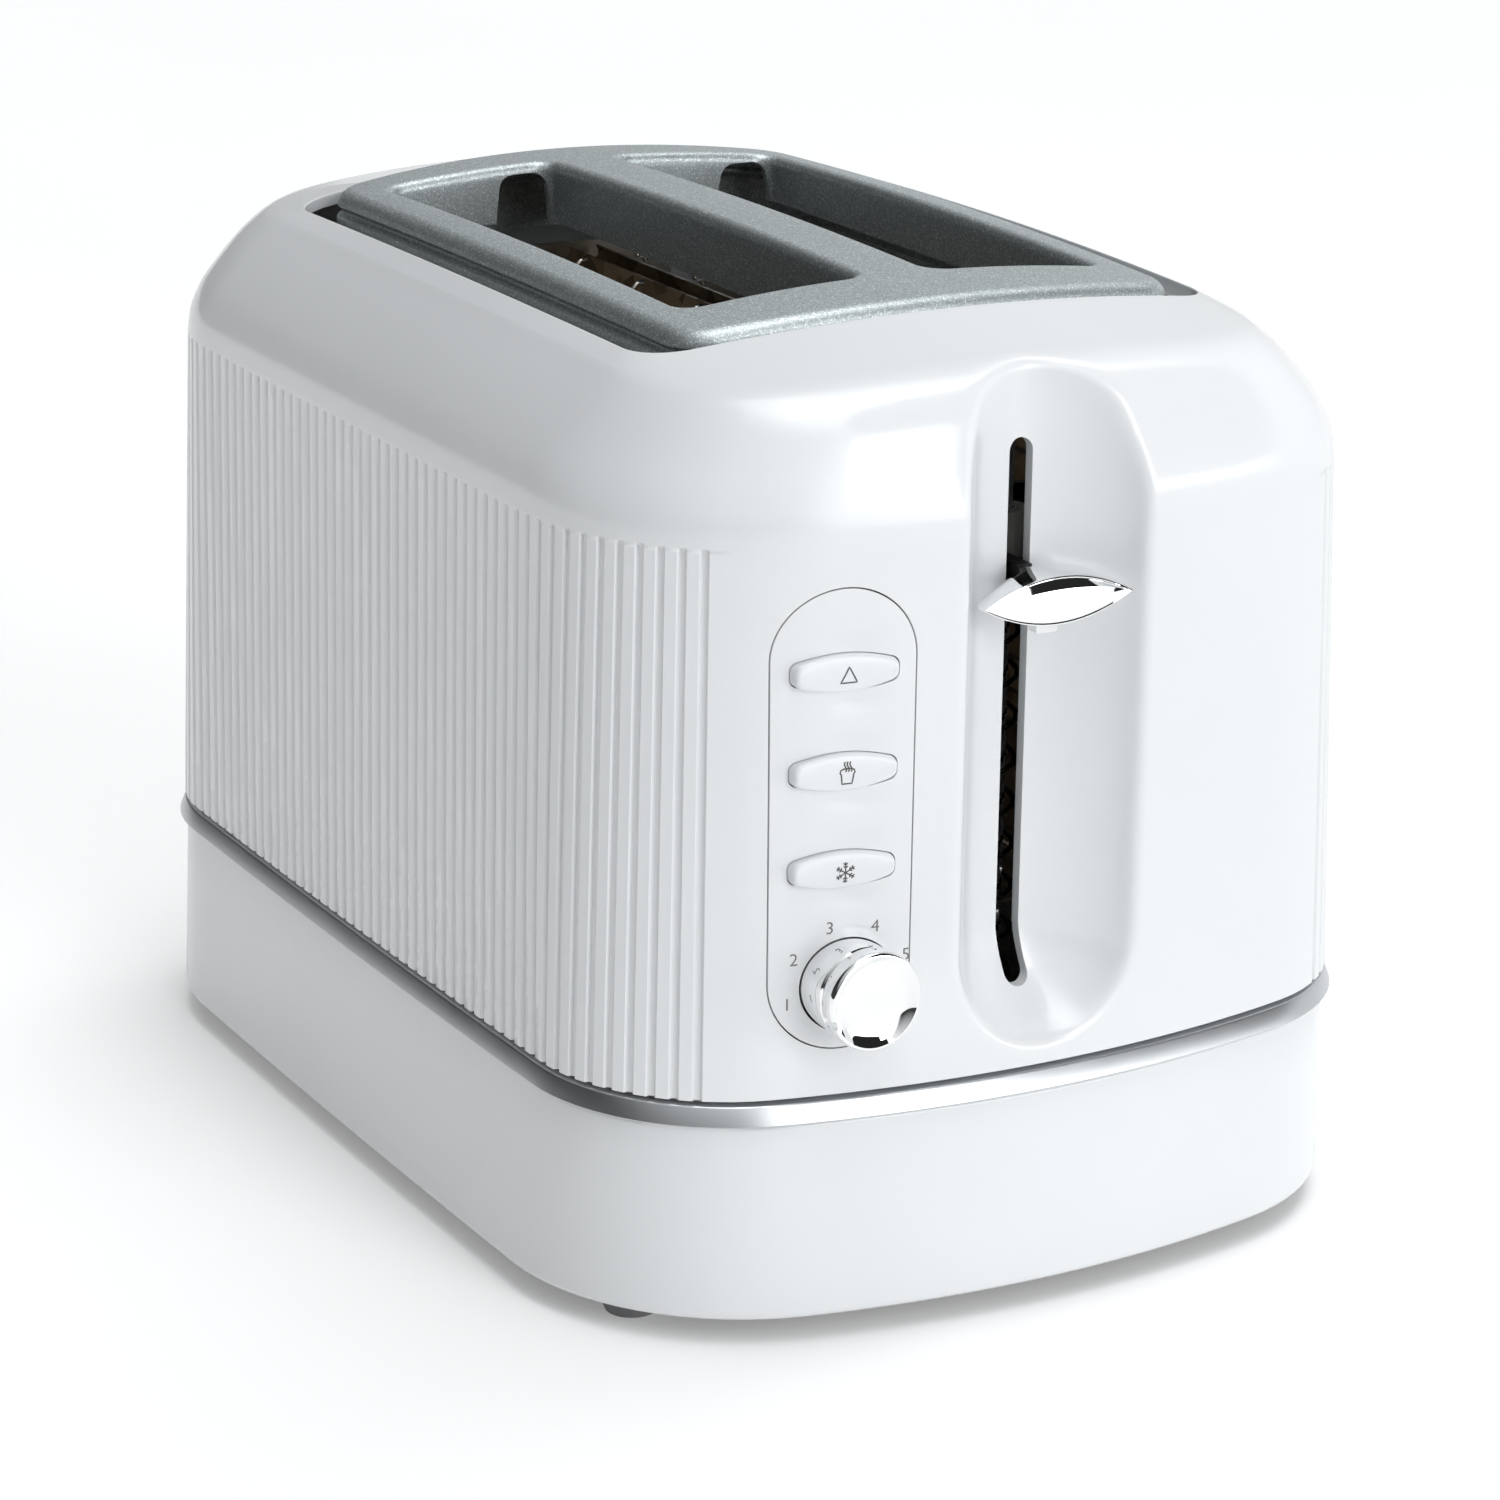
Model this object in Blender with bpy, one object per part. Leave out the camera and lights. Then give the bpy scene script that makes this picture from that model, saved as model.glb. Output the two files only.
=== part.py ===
"""A two-slot pop up toaster, modelled piece by piece in metres, +Z up.

The origin is on the worktop under the middle of the toaster. +X points at the control end, where the
lever, the buttons and the browning dial are. The two ribbed long sides face -Y and +Y.
"""

import math

import bmesh
import bpy
from mathutils import Vector

MM = 0.001
GAP = 0.3  # clearance left between pieces that touch, mm

# Driving dimensions, in millimetres. Plan sections are (half length, half width, corner radius, end bow).
# The body's own centre plane is x = 0; the whole assembly is then moved by ASSEMBLY_X, which puts the
# middle of the overall length, dial and tray handle included, on the origin.
ASSEMBLY_X = -0.65
FOOT_HEIGHT = 5.0
WALL = 2.4
SIDE_BOW = 1.7

SKIRT_BOTTOM = 5.0
SKIRT_TOP = 44.6
TRIM_BOTTOM = 44.9
TRIM_TOP = 48.8
TRIM_STEP_TOP = 49.4
BODY_BOTTOM = 49.7
RIB_TOP = 156.5

# Height, half length, half width, corner radius, end bow, crown across Y, arch along X.
SKIRT_STATIONS = (
    (SKIRT_BOTTOM, 133.3, 91.4, 50.5, 18.3, 0.0, 0.0),
    (SKIRT_TOP, 131.2, 88.6, 42.5, 17.0, 0.0, 0.0),
)
BODY_STATIONS = (
    (BODY_BOTTOM, 130.9, 88.6, 39.8, 16.9, 0.0, 0.0),
    (RIB_TOP, 131.3, 87.2, 49.5, 17.5, 0.0, 0.0),
    (160.5, 131.0, 86.6, 49.5, 17.3, 0.2, 0.1),
    (165.3, 129.4, 84.7, 48.5, 16.8, 0.8, 0.3),
    (170.3, 126.9, 81.0, 46.5, 16.0, 1.8, 0.6),
    (175.8, 123.6, 75.5, 43.0, 14.8, 3.2, 1.0),
    (179.3, 118.5, 71.5, 38.0, 13.0, 4.1, 1.3),
    (181.6, 106.0, 68.9, 26.0, 10.0, 4.8, 1.5),
    (185.6, 83.0, 62.5, 9.0, 6.0, 5.7, 1.8),
)
TRIM_SECTION = (132.5, 90.0, 42.7, 17.0)
RIM_SECTION = (88.8, 65.2, 11.5, 6.5)
RIM_TOP = 184.0
RIM_CROWN = 5.6
RIM_ARCH = 1.8

# Slot frame, bread slots and the oven around them.
FRAME_SECTION = (88.3, 57.9, 8.0, 6.2)
FRAME_PROUD = 1.2
FRAME_SKIRT_BOTTOM = 174.0
FRAME_SHEET = 1.5
SLOT_FRONT_X = 65.6
SLOT_REAR_X = -70.0
SLOT_INNER = 8.1
SLOT_OUTER = 46.8
SLOT_MIDDLE = (SLOT_INNER + SLOT_OUTER) / 2
COLLAR_BOTTOM = 179.0
COLLAR_SHEET = 1.2
SLOT_CORNER = 4.0
NOTCH_WIDTH = 11.0
NOTCH_BELOW_TOP = 2.2
PLATE_X = 72.0
PLATE_SHEET = 1.0
PLATE_HALF_WIDTH = 57.0
PLATE_TOP = 173.0
CARD_TOP = 172.5
GUARD_BOTTOM = 58.0
GUARD_TOP = 173.2
GUARD_WIRE = 0.7
GUARD_PITCH = 26.6
OVEN_FLOOR = 21.0
ARM_SLOT_WIDTH = 8.0

# Lever channel in the control end, and the lift that runs behind it.
LEVER_Y = -1.5
CHANNEL_MOUTH_X = 131.2
CHANNEL_HALF_WIDTH = 19.6
CHANNEL_DEPTH = 16.3
CHANNEL_POWER = 1.5
CHANNEL_FLOOR_Z = 74.0
LEVER_SLOT_WIDTH = 5.2
LEVER_SLOT_BOTTOM = 62.0
LEVER_SLOT_TOP = 170.0
REST_Z = 142.0
ROD_X = 92.0
ROD_Y = 9.0
ROD_RADIUS = 2.5

# Control panel.
PANEL_Y = -45.3
PANEL_HALF_WIDTH = 13.9
PANEL_BOTTOM = 59.0
PANEL_TOP = 149.2
BUTTON_HEIGHTS = (133.0, 113.9, 94.8)
BUTTON_NAMES = ("cancel", "reheat", "defrost")
BUTTON_HALF_WIDTH = 10.3
BUTTON_HALF_HEIGHT = 3.6
BUTTON_END_HALF_HEIGHT = 1.9
BUTTON_FACE_X = 127.6
BUTTON_FACE_SLOPE = 0.11
BOARD_X = 104.0
DIAL_Y = -43.5
DIAL_Z = 71.6
DIAL_RADIUS = 9.3
DIAL_CAP_RADIUS = 9.8
DIAL_FRONT_X = 137.6

# Base, crumb tray and feet.
PLATE_BOTTOM = 6.8
PLATE_THICKNESS = 2.0
TRAY_HALF_WIDTH = 52.0
TRAY_BOTTOM = 10.2
TRAY_TOP = 18.2
TRAY_FRONT_X = 62.0
TRAY_REAR_X = -126.0
TRAY_OPENING_HALF_WIDTH = 54.0
TRAY_OPENING = (9.4, 19.4)
FOOT_PLACES = ((98.0, 74.0), (98.0, -74.0), (-98.0, 74.0), (-98.0, -74.0))
FOOT_RADIUS = 5.5
POST_PLACES = ((112.0, 40.0), (112.0, -40.0), (-112.0, 64.0), (-112.0, -64.0))
GLAND_Y = 14.0
GLAND_Z = 32.0
GLAND_WALL_X = -131.5

WHITE = (0.87, 0.88, 0.89)
SILVER = (0.42, 0.45, 0.46)
STEEL = (0.55, 0.56, 0.57)
CHROME = (0.80, 0.81, 0.82)
DARK_STEEL = (0.07, 0.07, 0.075)
BLACK = (0.03, 0.03, 0.032)
MICA = (0.42, 0.36, 0.27)
COPPER = (0.62, 0.28, 0.13)
BOARD_GREEN = (0.05, 0.20, 0.09)
NYLON = (0.75, 0.74, 0.70)


def clear_scene():
    for item in list(bpy.data.objects):
        bpy.data.objects.remove(item)


def material(name, colour, roughness, metallic):
    made = bpy.data.materials.new(name)
    made.use_nodes = True
    shader = made.node_tree.nodes["Principled BSDF"]
    shader.inputs["Base Color"].default_value = (*colour, 1.0)
    shader.inputs["Roughness"].default_value = roughness
    shader.inputs["Metallic"].default_value = metallic
    return made


def finish(name, mesh_builder, look, parent, origin=(0.0, 0.0, 0.0)):
    """Makes the object `name` from a bmesh whose points are millimetres in the assembly's frame.

    The object's own origin goes to `origin`, which is on the joint's axis for a moving piece.
    """
    for vert in mesh_builder.verts:
        vert.co = (vert.co - Vector(origin)) * MM
    bmesh.ops.recalc_face_normals(mesh_builder, faces=mesh_builder.faces)
    mesh = bpy.data.meshes.new(name)
    mesh_builder.to_mesh(mesh)
    mesh_builder.free()
    mesh.shade_smooth()
    mesh.set_sharp_from_angle(angle=math.radians(35))
    mesh.materials.append(look)
    made = bpy.data.objects.new(name, mesh)
    bpy.context.scene.collection.objects.link(made)
    made.parent = parent
    made.location = Vector(origin) * MM
    return made


def combine(base, other, operation):
    """Boolean of two bmeshes, both freed; returns the result as a new bmesh."""
    pair = []
    for builder in (base, other):
        bmesh.ops.recalc_face_normals(builder, faces=builder.faces)
        mesh = bpy.data.meshes.new("work")
        builder.to_mesh(mesh)
        builder.free()
        made = bpy.data.objects.new("work", mesh)
        bpy.context.scene.collection.objects.link(made)
        pair.append(made)
    modifier = pair[0].modifiers.new("cut", "BOOLEAN")
    modifier.operation = operation
    modifier.object = pair[1]
    bpy.context.view_layer.update()
    evaluated = pair[0].evaluated_get(bpy.context.evaluated_depsgraph_get())
    result = bmesh.new()
    result.from_mesh(evaluated.to_mesh())
    evaluated.to_mesh_clear()
    for made in pair:
        mesh = made.data
        bpy.data.objects.remove(made)
        bpy.data.meshes.remove(mesh)
    bmesh.ops.remove_doubles(result, verts=result.verts, dist=0.0005)
    bmesh.ops.dissolve_degenerate(result, edges=result.edges, dist=0.0005)
    return result


def cut(base, other):
    return combine(base, other, "DIFFERENCE")


def join(base, other):
    return combine(base, other, "UNION")


def common(base, other):
    return combine(base, other, "INTERSECT")


def arc(centre, radius, start, end, steps):
    """Points from angle `start` to `end`, both included."""
    points = []
    for step in range(steps + 1):
        angle = start + (end - start) * step / steps
        points.append((centre[0] + radius * math.cos(angle), centre[1] + radius * math.sin(angle)))
    return points


def plan_outline(half_length, half_width, corner, end_bow, side_bow=SIDE_BOW, steps=6):
    """Counter-clockwise outline with bowed ends and sides, joined by tangent corner arcs."""
    end_radius = (half_width**2 + end_bow**2) / (2 * end_bow)
    side_radius = (half_length**2 + side_bow**2) / (2 * side_bow)
    end_centre = half_length - end_radius
    side_centre = half_width - side_radius
    reach_end = end_radius - corner
    reach_side = side_radius - corner
    apart = math.hypot(end_centre, side_centre)
    along = (reach_end**2 - reach_side**2 + apart**2) / (2 * apart)
    across = math.sqrt(max(reach_end**2 - along**2, 0.0))
    ux = -end_centre / apart
    uy = side_centre / apart
    middle = (end_centre + along * ux, along * uy)
    options = [
        (middle[0] - side * uy * across, middle[1] + side * ux * across) for side in (1, -1)
    ]
    centre = max(options, key=sum)
    end_angle = math.atan2(centre[1], centre[0] - end_centre)
    side_angle = math.atan2(centre[1] - side_centre, centre[0])
    quarter = arc((end_centre, 0.0), end_radius, 0.0, end_angle, steps)
    quarter += arc(centre, corner, end_angle, side_angle, steps)[1:]
    quarter += arc((0.0, side_centre), side_radius, side_angle, math.pi / 2, 3)[1:]
    half = quarter + [(-x, y) for x, y in reversed(quarter[:-1])]
    return half + [(x, -y) for x, y in reversed(half[1:-1])]


def station_ring(station, inset=0.0, drop=0.0, steps=6):
    """The outline of one station as 3-D points, moved in by `inset` and down by `drop`."""
    height, half_length, half_width, corner, bow, crown, arch = station
    outline = plan_outline(
        half_length - inset, half_width - inset, max(corner - inset, 4.0), bow, steps=steps
    )
    points = []
    for x, y in outline:
        rise = crown * (1 - (y / half_width) ** 2) + arch * (1 - (x / half_length) ** 2)
        points.append((x, y, height - drop + rise))
    return points


def flat_ring(section, height, inset=0.0, steps=6):
    half_length, half_width, corner, bow = section
    outline = plan_outline(
        half_length - inset, half_width - inset, max(corner - inset, 2.0), bow, steps=steps
    )
    return [(x, y, height) for x, y in outline]


def skin(rings):
    """Skins equal-length rings in order and closes both ends with one flat face each."""
    builder = bmesh.new()
    rows = [[builder.verts.new(point) for point in ring] for ring in rings]
    count = len(rows[0])
    for lower, upper in zip(rows, rows[1:]):
        for index in range(count):
            after = (index + 1) % count
            builder.faces.new((lower[index], lower[after], upper[after], upper[index]))
    builder.faces.new(rows[0])
    builder.faces.new(rows[-1])
    return builder


def loft(rings, closed=False):
    """Skins equal-length rings in order. Open lofts get a fan to a middle point at both ends."""
    builder = bmesh.new()
    rows = [[builder.verts.new(point) for point in ring] for ring in rings]
    count = len(rows[0])
    pairs = list(zip(rows, rows[1:]))
    if closed:
        pairs.append((rows[-1], rows[0]))
    for lower, upper in pairs:
        for index in range(count):
            after = (index + 1) % count
            builder.faces.new((lower[index], lower[after], upper[after], upper[index]))
    if not closed:
        for row in (rows[0], rows[-1]):
            middle = sum((vert.co for vert in row), Vector()) / count
            flat = max(vert.co.z for vert in row) - min(vert.co.z for vert in row) < 1e-6
            middle.z = row[0].co.z if flat else max(vert.co.z for vert in row)
            tip = builder.verts.new(middle)
            for index in range(count):
                builder.faces.new((row[index], row[(index + 1) % count], tip))
    return builder


def place(axis, u, v, along):
    """The point at `along` on the named axis and at u, v on the other two, taken in order."""
    if axis == "X":
        return (along, u, v)
    if axis == "Y":
        return (u, along, v)
    return (u, v, along)


def prism(outline, axis, low, high):
    """Extrudes a 2-D outline along X, Y or Z; the outline holds the other two axes in order."""
    return skin([[place(axis, u, v, w) for u, v in outline] for w in (low, high)])


def box(x_range, y_range, z_range):
    (x0, x1), (y0, y1) = x_range, y_range
    return prism([(x0, y0), (x1, y0), (x1, y1), (x0, y1)], "Z", *z_range)


def rounded_box_outline(half_u, half_v, corner, centre=(0.0, 0.0), steps=3):
    points = []
    for quadrant, (su, sv) in enumerate(((1, 1), (-1, 1), (-1, -1), (1, -1))):
        middle = (centre[0] + su * (half_u - corner), centre[1] + sv * (half_v - corner))
        points += arc(middle, corner, quadrant * math.pi / 2, (quadrant + 1) * math.pi / 2, steps)
    return points


def stadium_outline(centre_y, half_width, bottom, top, steps=8):
    """A slot with round ends, standing upright in the YZ plane."""
    upper = arc((centre_y, top - half_width), half_width, 0.0, math.pi, steps)
    lower = arc((centre_y, bottom + half_width), half_width, math.pi, 2 * math.pi, steps)
    return upper + lower


def round_rings(axis, centre, profile, sides):
    """Regular polygon rings round an axis, one for each (position along it, radius) pair."""
    rings = []
    for along, radius in profile:
        outline = arc(centre, radius, 0.0, 2 * math.pi * (sides - 1) / sides, sides - 1)
        rings.append([place(axis, u, v, along) for u, v in outline])
    return rings


def turned(axis, centre, profile, sides):
    """A solid of revolution from (position along the axis, radius) pairs, closed by flat ends."""
    return skin(round_rings(axis, centre, profile, sides))


def tube(axis, centre, profile, sides):
    """Revolves a closed profile that stays off the axis, such as a bush."""
    return loft(round_rings(axis, centre, profile, sides), closed=True)


def lattice(axis, span, columns, rows, solid):
    """A flat plate made of cells; `solid(column, row)` says which cells hold material.

    `columns` and `rows` are the cell borders, `span` is the plate's (low, high) along `axis`.
    """
    builder = bmesh.new()
    corners = {}

    def corner(i, j, side):
        key = (i, j, side)
        if key not in corners:
            corners[key] = builder.verts.new(place(axis, columns[i], rows[j], span[side]))
        return corners[key]

    def filled(i, j):
        inside = 0 <= i < len(columns) - 1 and 0 <= j < len(rows) - 1
        return inside and solid(i, j)

    for i in range(len(columns) - 1):
        for j in range(len(rows) - 1):
            if not filled(i, j):
                continue
            cell = ((i, j), (i + 1, j), (i + 1, j + 1), (i, j + 1))
            for side in (0, 1):
                builder.faces.new([corner(a, b, side) for a, b in cell])
            steps = ((0, -1), (1, 0), (0, 1), (-1, 0))
            for number, (di, dj) in enumerate(steps):
                if filled(i + di, j + dj):
                    continue
                first = cell[number]
                second = cell[(number + 1) % 4]
                edge = ((first, 0), (second, 0), (second, 1), (first, 1))
                builder.faces.new([corner(*end, side) for end, side in edge])
    bmesh.ops.dissolve_limit(
        builder, angle_limit=math.radians(1), verts=builder.verts, edges=builder.edges
    )
    return builder


# Casing


def body_solid(inset=0.0, low=None):
    """The upper body as one solid, moved in by `inset`; `low` stretches its bottom downwards."""
    rings = []
    for number, station in enumerate(BODY_STATIONS):
        ring = station_ring(station, inset, drop=inset * min(1.0, max(0, number - 1) / 4))
        if number == 0 and low is not None:
            ring = [(x, y, low) for x, y, _ in ring]
        rings.append(ring)
    return loft(rings)


def channel_solid(grow=0.0):
    """The scoop that the lever runs in: upright, a rounded V in plan, with a bowl-shaped bottom."""
    half_width = CHANNEL_HALF_WIDTH + grow
    depth = CHANNEL_DEPTH + grow
    outside = CHANNEL_MOUTH_X + 20.0
    levels = [(215.0, 0.0)]
    for step in range(6):
        below = math.sin(math.radians(15 * step))
        levels.append((CHANNEL_FLOOR_Z - half_width * below, below))
    rings = []
    for height, below in levels:
        reach = math.sqrt(1 - below**2)
        ring = [(outside, LEVER_Y + half_width * reach, height)]
        for step in range(13):
            across = reach * math.cos(math.pi * step / 12)
            radius = min(1.0, math.hypot(across, below))
            deep = (1 - radius**CHANNEL_POWER) ** (1 / CHANNEL_POWER)
            ring.append((CHANNEL_MOUTH_X - depth * deep, LEVER_Y + half_width * across, height))
        ring.append((outside, LEVER_Y - half_width * reach, height))
        rings.append(ring)
    return loft(rings)


def panel_prism(inset=0.0):
    outline = stadium_outline(PANEL_Y, PANEL_HALF_WIDTH - inset, PANEL_BOTTOM + inset, PANEL_TOP - inset)
    return prism(outline, "X", 112.0, 140.0)


def upper_shell(parent, look):
    cavity = cut(body_solid(WALL, low=40.0), channel_solid(grow=2.2))
    shell = cut(body_solid(), cavity)
    shell = cut(shell, channel_solid())
    opening = loft([flat_ring(RIM_SECTION, height) for height in (150.0, 215.0)])
    shell = cut(shell, opening)
    shell = cut(shell, panel_prism())
    slot = stadium_outline(LEVER_Y, LEVER_SLOT_WIDTH / 2, LEVER_SLOT_BOTTOM, LEVER_SLOT_TOP, steps=4)
    shell = cut(shell, prism(slot, "X", 100.0, 125.0))
    finish("upper_shell", shell, look, parent)


def trim_band(parent, look):
    rings = [
        flat_ring(TRIM_SECTION, TRIM_BOTTOM),
        flat_ring(TRIM_SECTION, TRIM_TOP),
        flat_ring(TRIM_SECTION, TRIM_TOP, inset=3.6),
        flat_ring(TRIM_SECTION, TRIM_STEP_TOP, inset=3.6),
        flat_ring(TRIM_SECTION, TRIM_STEP_TOP, inset=8.0),
        flat_ring(TRIM_SECTION, TRIM_BOTTOM, inset=8.0),
    ]
    finish("trim_band", loft(rings, closed=True), look, parent)


def skirt_solid(inset=0.0, low=None, high=None):
    rings = [station_ring(station, inset) for station in SKIRT_STATIONS]
    if low is not None:
        rings.insert(0, [(x, y, low) for x, y, _ in rings[0]])
        rings.append([(x, y, high) for x, y, _ in rings[-1]])
    return loft(rings)


def screw_post(place, radius, low, high):
    return turned("Z", place, ((low, radius), (high, radius)), 12)


def base_skirt(parent, look):
    """The white base wall, with a screw post and its web in each corner, and the rear tray opening."""
    cavity = skirt_solid(WALL, low=0.0, high=50.0)
    for x, y in POST_PLACES:
        post = screw_post((x, y), 4.6, PLATE_BOTTOM + PLATE_THICKNESS + GAP, 32.0)
        reach = math.copysign(30.0, x)
        web = box(sorted((x, x + reach)), (y - 1.2, y + 1.2), (PLATE_BOTTOM + PLATE_THICKNESS + GAP, 30.0))
        cavity = cut(cavity, join(post, web))
    skirt = cut(skirt_solid(), cavity)
    for place in POST_PLACES:
        skirt = cut(skirt, screw_post(place, 1.9, 0.0, 28.0))
    tray_gap = box((-150.0, -90.0), (-TRAY_OPENING_HALF_WIDTH, TRAY_OPENING_HALF_WIDTH), TRAY_OPENING)
    skirt = cut(skirt, tray_gap)
    skirt = cut(skirt, gland_cylinder(6.0, -12.0, 12.0))
    finish("base_skirt", skirt, look, parent)


def bottom_plate(parent, look):
    section = (129.9, 88.0, 47.0, 18.0)
    plate = loft([flat_ring(section, height) for height in (PLATE_BOTTOM, PLATE_BOTTOM + PLATE_THICKNESS)])
    for place in POST_PLACES:
        plate = cut(plate, screw_post(place, 1.9, 0.0, 20.0))
    for number in range(6):
        x = -50.0 + 20.0 * number
        for y in (-68.0, 68.0):
            plate = cut(plate, box((x - 3.0, x + 3.0), (y - 8.0, y + 8.0), (0.0, 20.0)))
    finish("bottom_plate", plate, look, parent)


def feet(parent, look):
    for number, place in enumerate(FOOT_PLACES, start=1):
        profile = (
            (0.0, FOOT_RADIUS - 1.2),
            (1.2, FOOT_RADIUS),
            (FOOT_HEIGHT, FOOT_RADIUS + 0.4),
            (PLATE_BOTTOM - GAP, FOOT_RADIUS + 0.4),
        )
        finish(f"foot_{number}", turned("Z", place, profile, 20), look, parent, origin=(*place, 0.0))


def base_screws(parent, look):
    for number, place in enumerate(POST_PLACES, start=1):
        profile = ((4.9, 2.6), (5.4, 3.3), (6.5, 3.3), (6.5, 1.5), (25.0, 1.5), (26.5, 0.4))
        finish(f"base_screw_{number}", turned("Z", place, profile, 12), look, parent, origin=(*place, 0.0))


def crowned_rise(x, y):
    """How far the crowned rim stands above its own lowest corner at a point."""
    return RIM_CROWN * (1 - (y / RIM_SECTION[1]) ** 2) + RIM_ARCH * (1 - (x / RIM_SECTION[0]) ** 2)


def frame_ring(height, inset, steps=4):
    """A ring of the slot frame whose height follows the crowned rim."""
    return [(x, y, z + crowned_rise(x, y)) for x, y, z in flat_ring(FRAME_SECTION, height, inset, steps)]


def slot_outline(side, grow=0.0):
    half_length = (SLOT_FRONT_X - SLOT_REAR_X) / 2 + grow
    half_width = (SLOT_OUTER - SLOT_INNER) / 2 + grow
    centre = ((SLOT_FRONT_X + SLOT_REAR_X) / 2, side * SLOT_MIDDLE)
    return rounded_box_outline(half_length, half_width, SLOT_CORNER + grow, centre)


def notch_prism(side, end_x):
    """A gap in a slot's end wall, next to the slot's +Y side, with bevelled upper corners."""
    high_y = side * SLOT_MIDDLE + (SLOT_OUTER - SLOT_INNER) / 2 - 1.0
    low_y = high_y - NOTCH_WIDTH
    middle = (low_y + high_y) / 2
    top = RIM_TOP + FRAME_PROUD + crowned_rise(end_x, middle) - NOTCH_BELOW_TOP
    outline = [(low_y - 1.5, 150.0), (high_y, 150.0), (high_y, top - 2.0), (high_y - 2.0, top),
               (low_y + 2.5, top), (low_y, top - 2.5)]
    return prism(outline, "X", end_x - SLOT_CORNER, end_x + SLOT_CORNER)


def slot_frame(parent, look):
    """Pressed frame on top: crowned sheet, outer skirt and a short collar round each bread slot."""
    top = RIM_TOP + FRAME_PROUD
    outer = loft(
        [
            flat_ring(FRAME_SECTION, FRAME_SKIRT_BOTTOM, steps=4),
            frame_ring(top - 3.6, 0.0),
            frame_ring(top - 1.2, 0.9),
            frame_ring(top, 3.4),
            frame_ring(top + 0.3, 30.0),
        ]
    )
    hollow = loft(
        [
            flat_ring(FRAME_SECTION, FRAME_SKIRT_BOTTOM - 10.0, inset=FRAME_SHEET, steps=4),
            frame_ring(top - 3.6 - FRAME_SHEET / 2, FRAME_SHEET),
            frame_ring(top - FRAME_SHEET, 4.4),
            frame_ring(top + 0.3 - FRAME_SHEET, 30.0),
        ]
    )
    for side in (-1, 1):
        hollow = cut(hollow, prism(slot_outline(side, COLLAR_SHEET), "Z", COLLAR_BOTTOM, 215.0))
    frame = cut(outer, hollow)
    for side in (-1, 1):
        frame = cut(frame, prism(slot_outline(side), "Z", 140.0, 215.0))
        for end_x in (SLOT_REAR_X, SLOT_FRONT_X):
            frame = cut(frame, notch_prism(side, end_x))
    finish("slot_frame", frame, look, parent)


# Control panel


def button_outline(centre_z, grow=0.0):
    """A stretched lens with a short upright edge at each end."""
    half_width = BUTTON_HALF_WIDTH + grow
    upper = []
    for step in range(7):
        across = 1.0 - 2.0 * step / 6
        rise = BUTTON_END_HALF_HEIGHT + (BUTTON_HALF_HEIGHT - BUTTON_END_HALF_HEIGHT) * (1 - across**2)
        upper.append((PANEL_Y + half_width * across, centre_z + rise + grow))
    return upper + [(y, 2 * centre_z - z) for y, z in reversed(upper)]


def control_bezel(parent, look):
    plate = common(cut(body_solid(), body_solid(WALL, low=40.0)), panel_prism(inset=GAP))
    for centre_z in BUTTON_HEIGHTS:
        plate = cut(plate, prism(button_outline(centre_z, 0.35), "X", 112.0, 140.0))
    dial_hole = turned("X", (DIAL_Y, DIAL_Z), ((112.0, DIAL_RADIUS + 0.5), (140.0, DIAL_RADIUS + 0.5)), 32)
    finish("control_bezel", cut(plate, dial_hole), look, parent)


def buttons(parent, look):
    """Three push buttons; each face leans a little less than the bowed panel around it."""
    for name, centre_z in zip(BUTTON_NAMES, BUTTON_HEIGHTS):
        pad = bmesh.new()
        outline = button_outline(centre_z)
        back = [pad.verts.new((119.0, y, z)) for y, z in outline]
        front = []
        for y, z in outline:
            front.append(pad.verts.new((BUTTON_FACE_X + BUTTON_FACE_SLOPE * (y - PANEL_Y), y, z)))
        ridge = []
        for y, z in outline[:7]:
            x = BUTTON_FACE_X + BUTTON_FACE_SLOPE * (y - PANEL_Y) + 0.5
            ridge.append(pad.verts.new((x, y, centre_z)))
        count = len(outline)
        for index in range(count):
            after = (index + 1) % count
            pad.faces.new((back[index], back[after], front[after], front[index]))
        pad.faces.new(back)
        lower = front[7:][::-1]
        for row in (front[:7], lower):
            for index in range(6):
                pad.faces.new((row[index], row[index + 1], ridge[index + 1], ridge[index]))
        pad.faces.new((front[0], ridge[0], lower[0]))
        pad.faces.new((front[6], lower[6], ridge[6]))
        stem = box((112.0, 120.0), (PANEL_Y - 2.0, PANEL_Y + 2.0), (centre_z - 1.6, centre_z + 1.6))
        origin = (BUTTON_FACE_X, PANEL_Y, centre_z)
        finish(f"button_{name}", join(pad, stem), look, parent, origin)


def control_board(parent, looks):
    board = box((BOARD_X, BOARD_X + 1.6), (-63.0, -27.0), (56.0, 152.0))
    finish("control_board", board, looks["board"], parent)
    for name, centre_z in zip(BUTTON_NAMES, BUTTON_HEIGHTS):
        face = BOARD_X + 1.6 + GAP
        rings = []
        for x, half in ((face, 3.0), (face + 3.5, 3.0), (face + 3.5, 1.5), (face + 4.3, 1.5)):
            rings.append([(x, PANEL_Y + u * half, centre_z + v * half) for u, v in
                          ((1, 1), (-1, 1), (-1, -1), (1, -1))])
        finish(f"switch_{name}", loft(rings), looks["black"], parent)


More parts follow.
